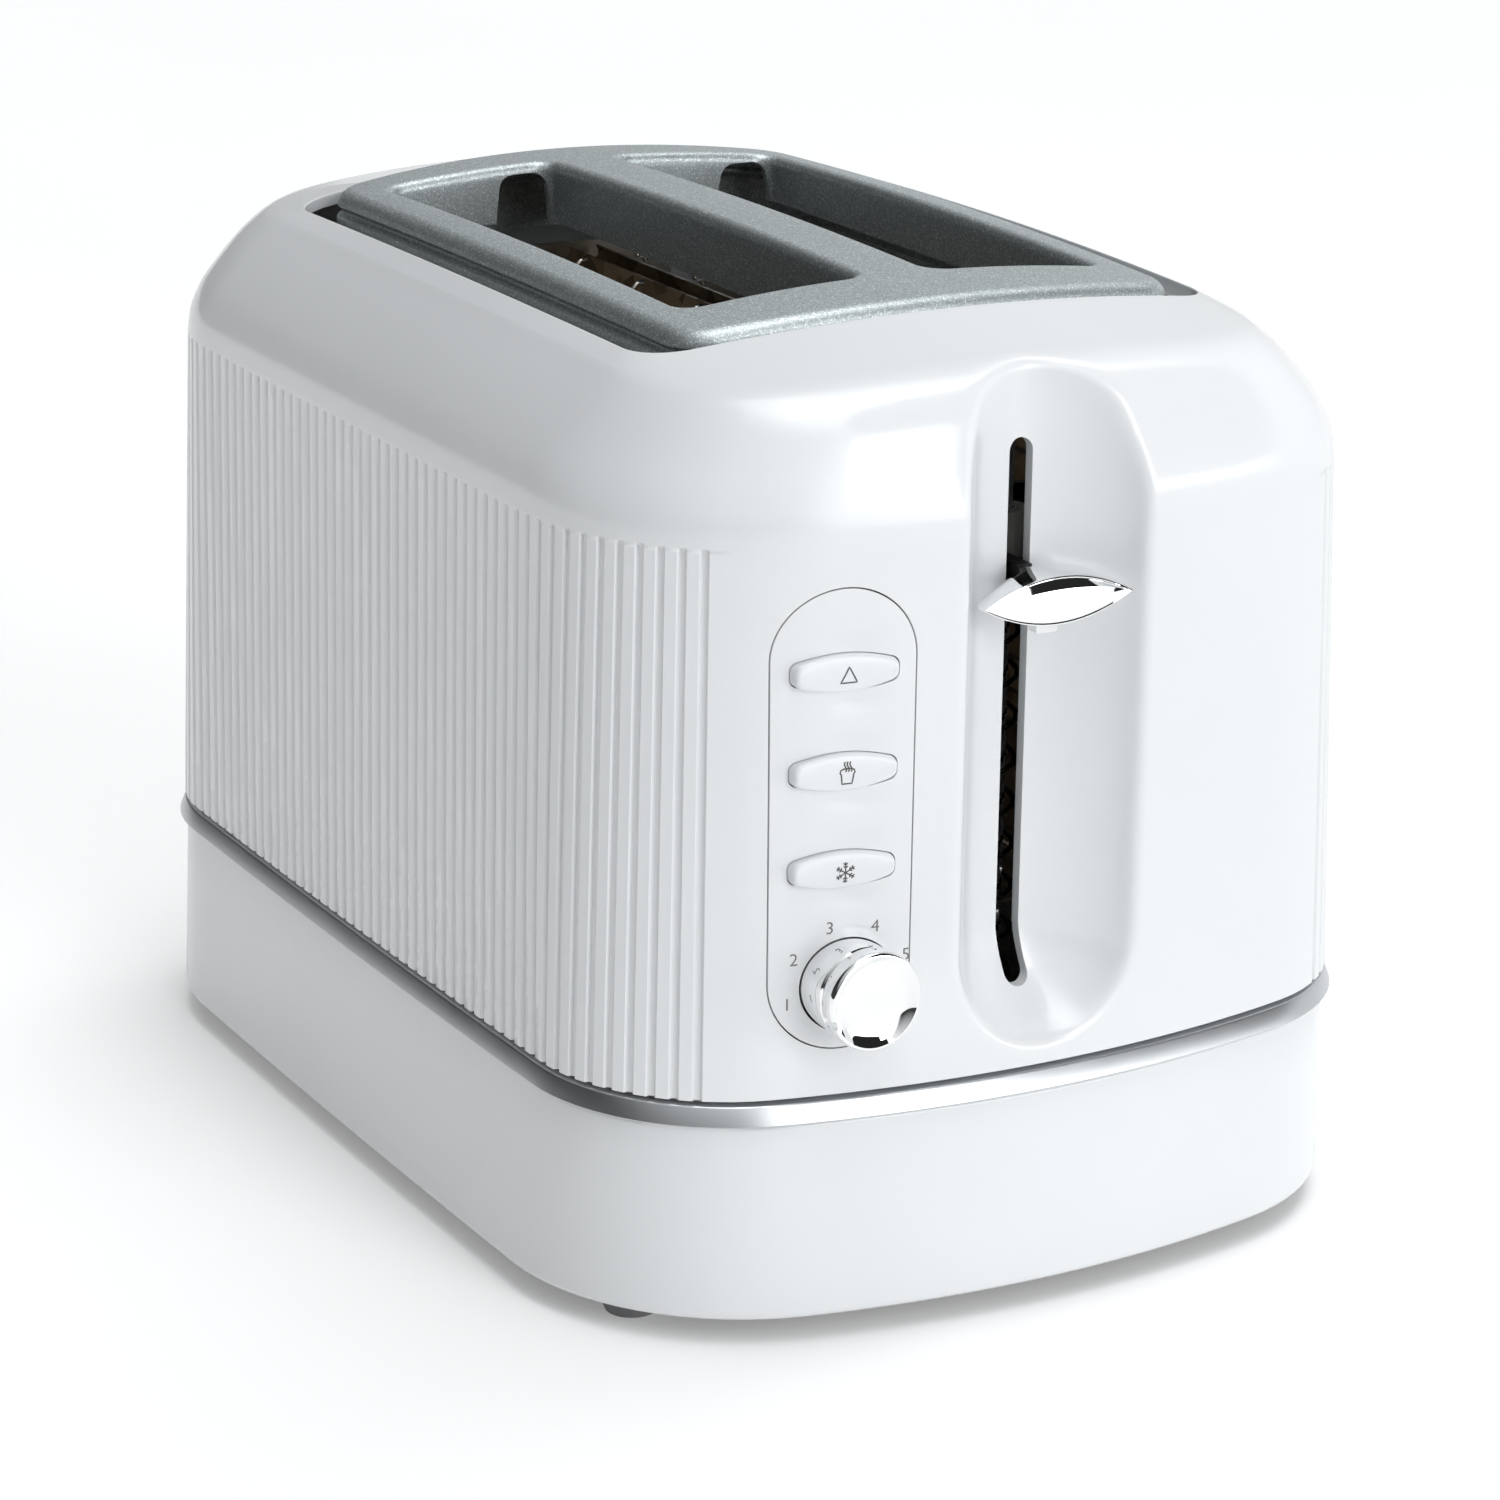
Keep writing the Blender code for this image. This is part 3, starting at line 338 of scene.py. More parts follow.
class Look:
    """A material in the making. Its textures are fixed to the piece, and scales count to the metre."""

    def __init__(self, name, metallic=0.0):
        self.material = bpy.data.materials.new(name)
        self.material.use_nodes = True
        self.tree = self.material.node_tree
        self.inputs = self.tree.nodes["Principled BSDF"].inputs
        self.inputs["Metallic"].default_value = metallic
        self.place = self.tree.nodes.new("ShaderNodeTexCoord").outputs["Object"]

    def texture(self, kind, scale, **settings):
        """A texture node at the piece's own coordinates."""
        node = add_node(self.tree, kind, **settings)
        node.inputs["Scale"].default_value = scale
        self.tree.links.new(self.place, node.inputs["Vector"])
        return node

    def mapped(self, node, **settings):
        """Puts a stretch or a turn between the coordinates and a texture."""
        mapping = self.tree.nodes.new("ShaderNodeMapping")
        for name, value in settings.items():
            mapping.inputs[name].default_value = value
        self.tree.links.new(self.place, mapping.inputs["Vector"])
        self.tree.links.new(mapping.outputs["Vector"], node.inputs["Vector"])

    def noise(self, scale, detail=2.0, stretch=(1.0, 1.0, 1.0)):
        """Cloudy noise."""
        node = self.texture("ShaderNodeTexNoise", scale)
        node.inputs["Detail"].default_value = detail
        self.mapped(node, Scale=stretch)
        return node.outputs["Fac"]

    def cells(self, scale):
        """Three random values that change from one cell to the next, as Red, Green and Blue."""
        voronoi = self.texture("ShaderNodeTexVoronoi", scale)
        split = self.tree.nodes.new("ShaderNodeSeparateColor")
        self.tree.links.new(voronoi.outputs["Color"], split.inputs["Color"])
        return split.outputs

    def colour(self, value, *stops):
        """The base colour, from a texture value and (position, colour) stops."""
        node = self.tree.nodes.new("ShaderNodeValToRGB")
        while len(node.color_ramp.elements) < len(stops):
            node.color_ramp.elements.new(0.5)
        for element, (position, colour) in zip(node.color_ramp.elements, stops):
            element.position = position
            element.color = (*colour, 1.0)
        self.tree.links.new(value, node.inputs["Fac"])
        self.tree.links.new(node.outputs["Color"], self.inputs["Base Color"])

    def roughness(self, value, low, high, start=0.3, end=0.7):
        """The roughness, as a texture value goes from start to end."""
        self.tree.links.new(spread(self.tree, value, low, high, start, end), self.inputs["Roughness"])

    def bump(self, height, distance, strength=1.0):
        """Fine relief in the shading only, `distance` millimetres deep."""
        node = self.tree.nodes.new("ShaderNodeBump")
        node.inputs["Strength"].default_value = strength
        node.inputs["Distance"].default_value = distance * MM
        self.tree.links.new(height, node.inputs["Height"])
        self.tree.links.new(node.outputs["Normal"], self.inputs["Normal"])


def scaled(colour, factor):
    """A darker or paler version of a colour."""
    return tuple(min(1.0, channel * factor) for channel in colour)


def moulded_plastic(name, colour, roughness, texture=0.004, coat=0.0, grain=350.0):
    """Injection-moulded plastic: faint tone drift, uneven gloss and an orange-peel skin."""
    look = Look(name)
    look.colour(look.noise(14.0, 3.0), (0.35, scaled(colour, 0.975)), (0.65, colour))
    look.roughness(look.noise(60.0, 1.0), roughness * 0.96, roughness * 1.04)
    look.inputs["Coat Weight"].default_value = coat
    look.inputs["Coat Roughness"].default_value = 0.025
    look.inputs["IOR"].default_value = 1.5
    look.bump(look.noise(grain, 2.0), texture)
    return look.material


def sparkle_paint(name):
    """Silver-grey paint with metal flakes that catch the light one by one."""
    look = Look(name, metallic=0.8)
    flakes = look.cells(4200.0)
    look.colour(
        flakes["Red"],
        (0.0, (0.33, 0.36, 0.37)),
        (0.5, (0.42, 0.455, 0.465)),
        (0.85, (0.50, 0.54, 0.55)),
        (0.97, (0.76, 0.80, 0.81)),
    )
    look.roughness(flakes["Green"], 0.38, 0.54, 0.0, 1.0)
    look.bump(flakes["Blue"], 0.012, 0.5)
    return look.material


def plated(name, colour, roughness, smudge=0.03):
    """Bright plating with faint wipe marks."""
    look = Look(name, metallic=1.0)
    marks = look.noise(45.0, 5.0, (1.0, 1.0, 3.0))
    look.colour(marks, (0.3, scaled(colour, 0.95)), (0.7, colour))
    look.roughness(marks, roughness, roughness + smudge)
    look.bump(look.noise(30.0, 1.0), 0.02, 0.3)
    return look.material


def sheet_metal(name, colour, roughness, stretch=(1.0, 1.0, 30.0), tint=None):
    """Rolled sheet: long fine grain, dull patches and, when heated, a straw-coloured tint."""
    look = Look(name, metallic=1.0)
    grain = look.noise(260.0, 3.0, stretch)
    warm = tint or scaled(colour, 0.88)
    look.colour(look.noise(22.0, 4.0), (0.3, scaled(colour, 0.7)), (0.5, colour), (0.75, warm))
    look.roughness(grain, roughness * 0.8, roughness * 1.3)
    look.bump(grain, 0.02, 0.5)
    return look.material


def rubber(name, colour):
    """Dull rubber with a pale bloom."""
    look = Look(name)
    bloom = look.noise(90.0, 4.0)
    look.colour(bloom, (0.4, colour), (0.75, scaled(colour, 1.5)))
    look.roughness(bloom, 0.7, 0.9)
    look.bump(look.noise(1500.0, 2.0), 0.05, 0.7)
    return look.material


def mica_board(name):
    """Pressed mica: brown layered flakes with a soft sheen."""
    look = Look(name)
    flakes = look.cells(170.0)
    stops = ((0.0, (0.10, 0.065, 0.035)), (0.5, (0.20, 0.14, 0.08)), (1.0, (0.33, 0.25, 0.16)))
    look.colour(flakes["Red"], *stops)
    look.roughness(flakes["Green"], 0.3, 0.65, 0.0, 1.0)
    look.bump(look.noise(420.0, 4.0), 0.08, 0.6)
    return look.material


def wound_copper(name):
    """Enamelled wire wound in even layers round the magnet; the colour darkens into the grooves between
    turns as painted shade.
    """
    look = Look(name, metallic=0.85)
    turns = look.texture("ShaderNodeTexWave", 420.0, bands_direction="Z")
    turns.inputs["Distortion"].default_value = 0.6
    height = turns.outputs["Fac"]
    # Painted shade: dark brown in the grooves between turns, full copper on their crowns, taken from the
    # same relief as the bump.
    look.colour(height, (0.0, (0.16, 0.05, 0.02)), (0.5, (0.55, 0.22, 0.09)), (1.0, (0.72, 0.34, 0.16)))
    look.roughness(look.noise(200.0), 0.25, 0.45)
    look.bump(height, 0.15, 0.8)
    return look.material


def circuit_board(name):
    """Green solder mask with lighter copper tracks under it."""
    look = Look(name)
    tracks = look.texture("ShaderNodeTexBrick", 190.0)
    look.mapped(tracks, Rotation=(0.0, math.pi / 2, 0.0))
    tracks.inputs["Mortar Size"].default_value = 0.03
    tracks.inputs["Color1"].default_value = (0.02, 0.10, 0.045, 1.0)
    tracks.inputs["Color2"].default_value = (0.025, 0.12, 0.05, 1.0)
    tracks.inputs["Mortar"].default_value = (0.06, 0.24, 0.10, 1.0)
    look.tree.links.new(tracks.outputs["Color"], look.inputs["Base Color"])
    look.roughness(look.noise(150.0), 0.25, 0.4)
    look.bump(tracks.outputs["Fac"], 0.04, 0.6)
    return look.material


def make_looks():
    """Every material, by the short name that the pieces use."""
    even = (1.0, 1.0, 1.0)
    return {
        "white": moulded_plastic("white_gloss_plastic", (0.735, 0.748, 0.76), 0.3, 0.002, coat=0.5),
        "button": moulded_plastic("white_button_plastic", (0.72, 0.738, 0.76), 0.22),
        "silver": sparkle_paint("silver_sparkle_paint"),
        "trim": plated("satin_trim_plating", (0.60, 0.615, 0.63), 0.31, 0.05),
        "chrome": plated("mirror_chrome", (0.93, 0.935, 0.94), 0.02, 0.02),
        "steel": sheet_metal("zinc_plated_steel", (0.50, 0.50, 0.49), 0.36),
        "hot_steel": sheet_metal("heated_steel", (0.40, 0.38, 0.35), 0.34, tint=(0.36, 0.28, 0.18)),
        "guard": sheet_metal("guard_wire_steel", (0.62, 0.60, 0.57), 0.25, even, (0.46, 0.38, 0.28)),
        "tray": sheet_metal("rolled_tray_steel", (0.56, 0.57, 0.58), 0.30, (30.0, 1.0, 1.0)),
        # Black steel; on the return spring it is painted shade in the lever slot, where the real spring is
        # plated steel.
        "black_metal": sheet_metal("black_oxide_steel_and_painted_shade", (0.035, 0.034, 0.033), 0.42),
        "black": moulded_plastic("black_plastic", (0.028, 0.028, 0.030), 0.48, 0.02, grain=1500.0),
        "rubber": rubber("grey_foot_rubber", (0.16, 0.16, 0.165)),
        "mica": mica_board("mica_board"),
        "nichrome": sheet_metal("nichrome_wire", (0.20, 0.18, 0.17), 0.45, even, (0.24, 0.19, 0.17)),
        "copper": wound_copper("enamelled_copper"),
        "board": circuit_board("green_circuit_board"),
        "nylon": moulded_plastic("natural_nylon", (0.70, 0.69, 0.64), 0.42, 0.01),
        "ink": moulded_plastic("grey_print", (0.075, 0.072, 0.065), 0.55),
        "pale_ink": moulded_plastic("pale_grey_print", (0.13, 0.128, 0.12), 0.55),
    }


# Plan outlines


def outline_arcs(station, inset=0.0):
    """The three tangent arcs of a quarter outline: end, corner and side."""
    half_length = station[1] - inset
    half_width = station[2] - inset
    corner = max(station[3] - inset, 4.0)
    bow = station[4]
    end_radius = (half_width**2 + bow**2) / (2 * bow)
    side_radius = (half_length**2 + SIDE_BOW**2) / (2 * SIDE_BOW)
    end_centre = half_length - end_radius
    side_centre = half_width - side_radius
    reach_end = end_radius - corner
    reach_side = side_radius - corner
    apart = math.hypot(end_centre, side_centre)
    along = (reach_end**2 - reach_side**2 + apart**2) / (2 * apart)
    across = math.sqrt(max(reach_end**2 - along**2, 0.0))
    ux = -end_centre / apart
    uy = side_centre / apart
    options = [
        (end_centre + along * ux - side * uy * across, along * uy + side * ux * across) for side in (1, -1)
    ]
    middle = max(options, key=sum)
    end_angle = math.atan2(middle[1], middle[0] - end_centre)
    side_angle = math.atan2(middle[1] - side_centre, middle[0])
    return {
        "end": (end_centre, 0.0, end_radius, 0.0, end_angle),
        "corner": (*middle, corner),
        "side": (0.0, side_centre, side_radius, side_angle, math.pi / 2),
    }


def outline_point(arcs, u):
    """Points and outward directions at u: 0..1 on the end arc, 1..2 round the corner, 2..3 on the side."""
    u = np.asarray(u, float)
    end_x, _, end_radius, _, end_angle = arcs["end"]
    corner_x, corner_y, corner_radius = arcs["corner"]
    _, side_y, side_radius, side_angle, last = arcs["side"]
    on_end = u <= 1
    on_side = u >= 2
    angle = np.where(on_end, end_angle * u, end_angle + (side_angle - end_angle) * (u - 1))
    angle = np.where(on_side, side_angle + (last - side_angle) * (u - 2), angle)
    radius = np.where(on_end, end_radius, np.where(on_side, side_radius, corner_radius))
    centre_x = np.where(on_end, end_x, np.where(on_side, 0.0, corner_x))
    centre_y = np.where(on_end, 0.0, np.where(on_side, side_y, corner_y))
    out_x = np.cos(angle)
    out_y = np.sin(angle)
    return centre_x + radius * out_x, centre_y + radius * out_y, out_x, out_y


DENSE = np.linspace(0, 3, 1501)


def follow(u_reference, reference, arcs):
    """Where upright lines that start on the reference outline meet another outline."""
    x, y, _, _ = outline_point(arcs, DENSE)
    from_x, from_y, _, _ = outline_point(reference, u_reference)
    corner_x, corner_y, _ = reference["corner"]
    angle = np.arctan2(y - corner_y, x - corner_x)
    from_angle = np.arctan2(from_y - corner_y, from_x - corner_x)
    by_angle = np.interp(from_angle, angle, DENSE)
    by_y = np.interp(from_y, y, DENSE)
    by_x = np.interp(-from_x, -x, DENSE)
    return np.where(u_reference <= 1, by_y, np.where(u_reference >= 2, by_x, by_angle))


def blend_stations(first, second, share):
    """The plan section part of the way from one to another."""
    return tuple(a + (b - a) * share for a, b in zip(first, second))


def station_at(pair, height):
    """The plan section at a height, in line with a pair of others."""
    return blend_stations(*pair, (height - pair[0][0]) / (pair[1][0] - pair[0][0]))


def shoulder_stations(steps):
    """Stations from the rib tops to the crease, along a smooth curve through the shoulder's own."""
    knots = np.array([STRAIGHT[0], STRAIGHT[1], *SHOULDER, RIM], float)
    apart = np.hypot(*(np.diff(knots[:, :2], axis=0).T)) + np.abs(np.diff(knots[:, 2])) * 0.5
    place = np.concatenate([[0.0], np.cumsum(apart)])
    slopes = np.diff(knots, axis=0) / apart[:, None]
    weight = apart[1:, None] / (apart[1:] + apart[:-1])[:, None]
    tangents = slopes[:-1] * weight + slopes[1:] * (1 - weight)
    made = []
    for index in range(1, len(knots) - 2):
        reach = place[index + 1] - place[index]
        places = [step / steps for step in range(steps)]
        if index == len(knots) - 3:
            places.append(0.97)
        for t in places:
            a = 2 * t**3 - 3 * t**2 + 1
            b = t**3 - 2 * t**2 + t
            c = -2 * t**3 + 3 * t**2
            d = t**3 - t**2
            row = a * knots[index] + b * reach * tangents[index - 1]
            row += c * knots[index + 1] + d * reach * tangents[index]
            made.append(tuple(row))
    made.append(tuple(knots[-2]))
    return made


# Upper shell


GROOVE_SECTION = ((-1.0, 0.0), (-0.8, 0.2), (-0.55, 0.88), (0.0, 1.0), (0.55, 0.88), (0.8, 0.2), (1.0, 0.0))
PLAIN_STEP = 4.0


def half_columns(reference, front):
    """Positions along half the outline, front middle to rear middle, and the groove depth at each.

    `front` holds the y positions wanted near the middle of the front end.
    """
    x, y, _, _ = outline_point(reference, DENSE)
    lengths = np.concatenate([[0.0], np.cumsum(np.hypot(np.diff(x), np.diff(y)))])
    quarter = lengths[-1]
    total = 2 * quarter

    def at_length(s):
        mirrored = np.minimum(s, total - s)
        return np.interp(mirrored, lengths, DENSE), np.where(s > quarter, -1.0, 1.0)

    count = round((total - 2 * RIB_START) / RIB_PITCH)
    pitch = (total - 2 * RIB_START) / count
    edge = RIB_START - GROOVE_HALF
    positions = np.interp(np.interp(front, y, DENSE), DENSE, lengths).tolist()
    positions += np.arange(positions[-1] + PLAIN_STEP, edge - 1.5, PLAIN_STEP).tolist()
    depths = [0.0] * len(positions)
    for number in range(count + 1):
        for offset, depth in GROOVE_SECTION:
            positions.append(RIB_START + pitch * number + offset * GROOVE_HALF)
            depths.append(depth)
    rear = total - np.arange(edge - 3.0, 0.5, -PLAIN_STEP)
    positions += rear.tolist()
    depths += [0.0] * len(rear)
    u, side = at_length(np.array(positions))
    return u, side, np.array(depths)


def channel_offsets():
    """Distances from the channel's middle, closest together at its edges."""
    inside = CHANNEL_HALF_WIDTH * np.sin(np.radians(np.arange(0.0, 90.1, 4.5)))
    outside = CHANNEL_HALF_WIDTH + np.array([0.2, 0.45, 0.8, 1.2, 1.7, 2.4, 3.4, 5.0])
    return np.concatenate([inside, outside])


# The outline that the columns are laid out on, half way up the ribs.
STRAIGHT_REFERENCE = outline_arcs(station_at(STRAIGHT, (SHELL_BOTTOM + RIB_TOP) / 2))


def shell_columns():
    """u, sign of x, sign of y and groove depth for every column, counter-clockwise from the front."""
    offsets = channel_offsets()
    every = np.sort(np.concatenate([LEVER_Y - offsets[1:], LEVER_Y + offsets]))
    left = half_columns(STRAIGHT_REFERENCE, every[every > 0])
    right = half_columns(STRAIGHT_REFERENCE, -every[every < 0][::-1])
    u, sign_x, depth = [np.concatenate([a, b[::-1]]) for a, b in zip(left, right)]
    sign_y = np.concatenate([np.ones(len(left[0])), -np.ones(len(right[0]))])
    return u, sign_x, sign_y, depth


def station_ring(station, u, sign_x, sign_y, inset=0.0, drop=0.0, sink=0.0):
    """One ring of the casing. `sink` presses points in along the outline's own normal."""
    x, y, out_x, out_y = outline_point(outline_arcs(station, inset), u)
    x = x - out_x * sink
    y = y - out_y * sink
    height, half_length, half_width, _, _, crown, arch = station
    rise = crown * (1 - (y / half_width) ** 2) + arch * (1 - (x / half_length) ** 2)
    return np.stack([x * sign_x, y * sign_y, height - drop + rise], axis=-1)


def scoop_depth(x, y, z, grow):
    """Roughly how far a point is inside the lever channel's void; negative outside it."""
    half_width = CHANNEL_HALF_WIDTH + grow
    depth = CHANNEL_DEPTH + grow
    across = (y - LEVER_Y) / half_width
    below = np.maximum(CHANNEL_FLOOR_Z - z, 0.0) / half_width
    radius = np.hypot(across, below)
    deep = np.maximum(CHANNEL_MOUTH_X - x, 0.0) / depth
    power = CHANNEL_POWER
    value = radius**power + deep**power - 1
    slope = power * np.hypot(radius ** (power - 1) / half_width, deep ** (power - 1) / depth)
    return -value / np.maximum(slope, 0.02)


def press_channel(points, normals_x, grow=0.0, fillet=CHANNEL_FILLET):
    """Moves the front of the casing back into the lever channel, with rounded mouth edges."""
    x, y, z = points[..., 0], points[..., 1], points[..., 2]
    near = (x > 90.0) & (np.abs(y - LEVER_Y) < CHANNEL_HALF_WIDTH + grow + 8.0)
    slope = np.clip(normals_x, 0.12, 1.0)

    def outside(travel):
        body = -travel * slope
        void = scoop_depth(x - travel, y, z, grow)
        mix = np.maximum(fillet - np.abs(body - void), 0.0) / fillet
        return np.maximum(body, void) + mix**2 * fillet / 4

    low = np.zeros_like(x)
    high = np.full_like(x, 40.0)
    for _ in range(40):
        middle = (low + high) / 2
        out = outside(middle) > 1e-6
        low = np.where(out, middle, low)
        high = np.where(out, high, middle)
    travel = np.where(near & (outside(np.zeros_like(x)) > 1e-4), (low + high) / 2, 0.0)
    pressed = points.copy()
    pressed[..., 0] -= travel
    return pressed


def grid_normal_x(points):
    """The x part of the outward normal at each point of a (rows, columns, 3) grid."""
    along_rows = np.gradient(points, axis=0)
    along_columns = (np.roll(points, -1, axis=1) - np.roll(points, 1, axis=1)) / 2
    normal = np.cross(along_columns, along_rows)
    normal /= np.maximum(np.linalg.norm(normal, axis=-1, keepdims=True), 1e-9)
    return normal[..., 0]


def stadium(centre_y, half_width, bottom, top, steps=24):
    """An upright slot outline with round ends."""
    outline = []
    for side, end in ((1, top - half_width), (-1, bottom + half_width)):
        for angle in np.linspace(0, math.pi, steps + 1):
            across = side * half_width * math.cos(angle)
            outline.append((centre_y + across, end + side * half_width * math.sin(angle)))
    return outline


def shell_rows():
    """(station, groove share) for every outer ring, bottom to rim."""
    heights = [SHELL_BOTTOM, SHELL_BOTTOM + 0.15, SHELL_BOTTOM + 0.5]
    heights += np.arange(52.0, 80.0, 1.0).tolist()
    heights += [84.0, 90.0, 105.0, 120.0, 135.0, 148.0, 153.0]
    rows = [(station_at(STRAIGHT, height), 1.0) for height in heights]
    for below, share in ((1.1, 1.0), (0.6, 0.9), (0.3, 0.55), (0.1, 0.15)):
        rows.append((station_at(STRAIGHT, RIB_TOP - below), share))
    rows += [(station, 0.0) for station in shoulder_stations(5)]
    crease = SHOULDER[-1]
    for share in (0.03, 0.12, 0.3, 0.5, 0.7, 0.9, 0.97):
        rows.append((blend_stations(crease, RIM, share), 0.0))
    return rows


def shell_inside(u, u_top, sign_x, sign_y):
    """Rings of the casing's inner wall, rim to bottom; `u_top` holds the columns above the ribs."""
    stations = [blend_stations(SHOULDER[-1], RIM, 0.55), *reversed(SHOULDER), STRAIGHT[1]]
    inner = []
    for number, station in enumerate(stations):
        drop = WALL * (1 - number / (len(stations) - 1)) + (0.2 if number == 0 else 0.0)
        inner.append(station_ring(station, u_top, sign_x, sign_y, inset=WALL, drop=drop))
    heights = [150.0, 130.0, 110.0, 95.0, 85.0, *np.arange(79.0, 50.0, -2.0).tolist(), SHELL_BOTTOM]
    for height in heights:
        station = station_at(STRAIGHT, height)
        u_here = follow(u, STRAIGHT_REFERENCE, outline_arcs(station))
        inner.append(station_ring(station, u_here, sign_x, sign_y, inset=WALL))
    return np.array(inner)


def upper_shell(looks):
    u, sign_x, sign_y, depth = shell_columns()
    outer = []
    u_now = u
    for station, share in shell_rows():
        if station[0] <= RIB_TOP:
            u_now = follow(u, STRAIGHT_REFERENCE, outline_arcs(station))
        outer.append(station_ring(station, u_now, sign_x, sign_y, sink=depth * share * GROOVE_DEPTH))
    outer = np.array(outer)
    outer = press_channel(outer, grid_normal_x(outer))
    # The lowest ring is drawn in a little, to round the bottom edge.
    outer[0, :, :2] *= 1 - 0.25 / 130.0
    lip = []
    for inset, drop in ((0.04, 0.02), (0.14, 0.12), (0.2, 0.4), (0.2, 2.6)):
        lip.append(station_ring(RIM, u_now, sign_x, sign_y, inset=inset, drop=drop))
    inner = shell_inside(u, u_now, sign_x, sign_y)
    inner = press_channel(inner, -grid_normal_x(inner), grow=WALL, fillet=1.0)
    points, faces = loft(np.concatenate([outer, np.array(lip), inner]), closed=True)
    shell = new_object("upper_shell_moulding", points, faces)
    slot = prism(stadium(LEVER_Y, LEVER_SLOT_HALF, LEVER_SLOT_BOTTOM, LEVER_SLOT_TOP), 100.0, 125.0)
    panel = prism(stadium(PANEL_Y, PANEL_HALF_WIDTH, PANEL_BOTTOM, PANEL_TOP, 48), 112.0, 140.0)
    carve(shell, [slot, panel])
    settle(shell, looks["white"], "housing", ["upper_shell"], angle=42)


# Trim, base and feet


def plain_columns(steps):
    """u and signs round a whole outline with `steps` columns to each arc of each quarter."""
    quarter = np.linspace(0, 3, 3 * steps + 1)
    back = quarter[-2::-1]
    parts = ((quarter, 1, 1), (back, -1, 1), (quarter[1:], -1, -1), (back[:-1], 1, -1))
    u = np.concatenate([part for part, _, _ in parts])
    sign_x = np.concatenate([np.full(len(part), float(sign)) for part, sign, _ in parts])
    sign_y = np.concatenate([np.full(len(part), float(sign)) for part, _, sign in parts])
    return u, sign_x, sign_y


def tube(pair, profile):
    """A closed tube round the body from (height, inset) pairs, on a pair of plan sections."""
    columns = plain_columns(16)
    rings = [station_ring(station_at(pair, z), *columns, inset=inset) for z, inset in profile]
    return loft(rings, closed=True)


def trim_band(looks):
    ledge = TRIM_HIGH - 0.6
    profile = (
        (TRIM_LOW, 0.45),
        (TRIM_LOW + 0.1, 0.12),
        (TRIM_LOW + 0.3, 0.02),
        (ledge - 0.3, 1.2),
        (ledge - 0.1, 1.35),
        (ledge, 1.6),
        (ledge, 3.3),
        (ledge + 0.15, 3.6),
        (TRIM_HIGH, 3.7),
        (TRIM_HIGH, 8.0),
        (TRIM_LOW, 8.0),
    )
    band = new_object("trim_band_plated", *tube(TRIM, profile))
    settle(band, looks["trim"], "housing", ["trim_band"], angle=40)


def base_skirt(looks):
    """The skirt, with an opening for the crumb tray's handle and a hole for the cord's bush."""
    profile = (
        (SKIRT_LOW, 1.5),
        (SKIRT_LOW + 0.15, 0.95),
        (SKIRT_LOW + 0.5, 0.45),
        (SKIRT_LOW + 1.0, 0.15),
        (SKIRT_LOW + 1.8, 0.0),
        (SKIRT_LOW + 14.0, 0.0),
        (SKIRT_LOW + 27.0, 0.0),
        (SKIRT_HIGH - 1.0, 0.0),
        (SKIRT_HIGH - 0.3, 0.1),
        (SKIRT_HIGH, 0.45),
        (SKIRT_HIGH, WALL),
        (SKIRT_LOW + 20.0, WALL),
        (SKIRT_LOW, WALL),
    )
    skirt = new_object("base_skirt_moulding", *tube(SKIRT, profile))
    low, high = node_box("crumb_tray_handle")
    gap = 0.3
    middle = (0.0, (high.z + low.z) / 2)
    mouth = rounded_outline(high.y + 2 * gap, (high.z - low.z) / 2 + gap, 1.2, middle)
    low, high = node_box("cord_gland")
    centre = ((low.y + high.y) / 2, (low.z + high.z) / 2)
    hole = turned("X", centre, ((-150.0, CORD_HOLE_RADIUS), (-100.0, CORD_HOLE_RADIUS)))
    carve(skirt, [prism(mouth, -150.0, -100.0), hole])
    settle(skirt, looks["white"], "housing", ["base_skirt"], angle=42)


def rounded_outline(half_u, half_v, corner, centre=(0.0, 0.0), steps=6):
    """A rectangle with round corners."""
    points = []
    for quadrant, (su, sv) in enumerate(((1, 1), (-1, 1), (-1, -1), (1, -1))):
        middle_u = centre[0] + su * (half_u - corner)
        middle_v = centre[1] + sv * (half_v - corner)
        for step in range(steps + 1):
            angle = (quadrant + step / steps) * math.pi / 2
            points.append((middle_u + corner * math.cos(angle), middle_v + corner * math.sin(angle)))
    return points


def feet(looks):
    for number in range(1, 5):
        low, high = node_box(f"foot_{number}")
        centre = ((low.x + high.x) / 2, (low.y + high.y) / 2)
        radius = (high.x - low.x) / 2
        profile = (
            (0.6, radius - 3.4),
            (0.0, radius - 3.0),
            (0.0, radius - 1.4),
            (0.3, radius - 0.7),
            (1.1, radius - 0.35),
            (high.z - 0.2, radius),
            (high.z, radius - 0.3),
        )
        points, faces = turned("Z", centre, profile, 56)
        foot = new_object(f"foot_pad_{number}", points, faces)
        settle(foot, looks["rubber"], "housing", [f"foot_{number}"])


# Slot frame


def frame_rise(x, y):
    """How much the crowned top stands above or below its height at the rim."""
    return RIM[5] * (1 - (y / RIM[2]) ** 2) + RIM[6] * (1 - (x / RIM[1]) ** 2)


def frame_ring(height, inset, steps=14):
    """A ring of the frame that follows the crowned rim."""
    u, sign_x, sign_y = plain_columns(steps)
    x, y, _, _ = outline_point(outline_arcs(FRAME, inset), u)
    x = x * sign_x
    y = y * sign_y
    return np.stack([x, y, height + frame_rise(x, y)], axis=-1)


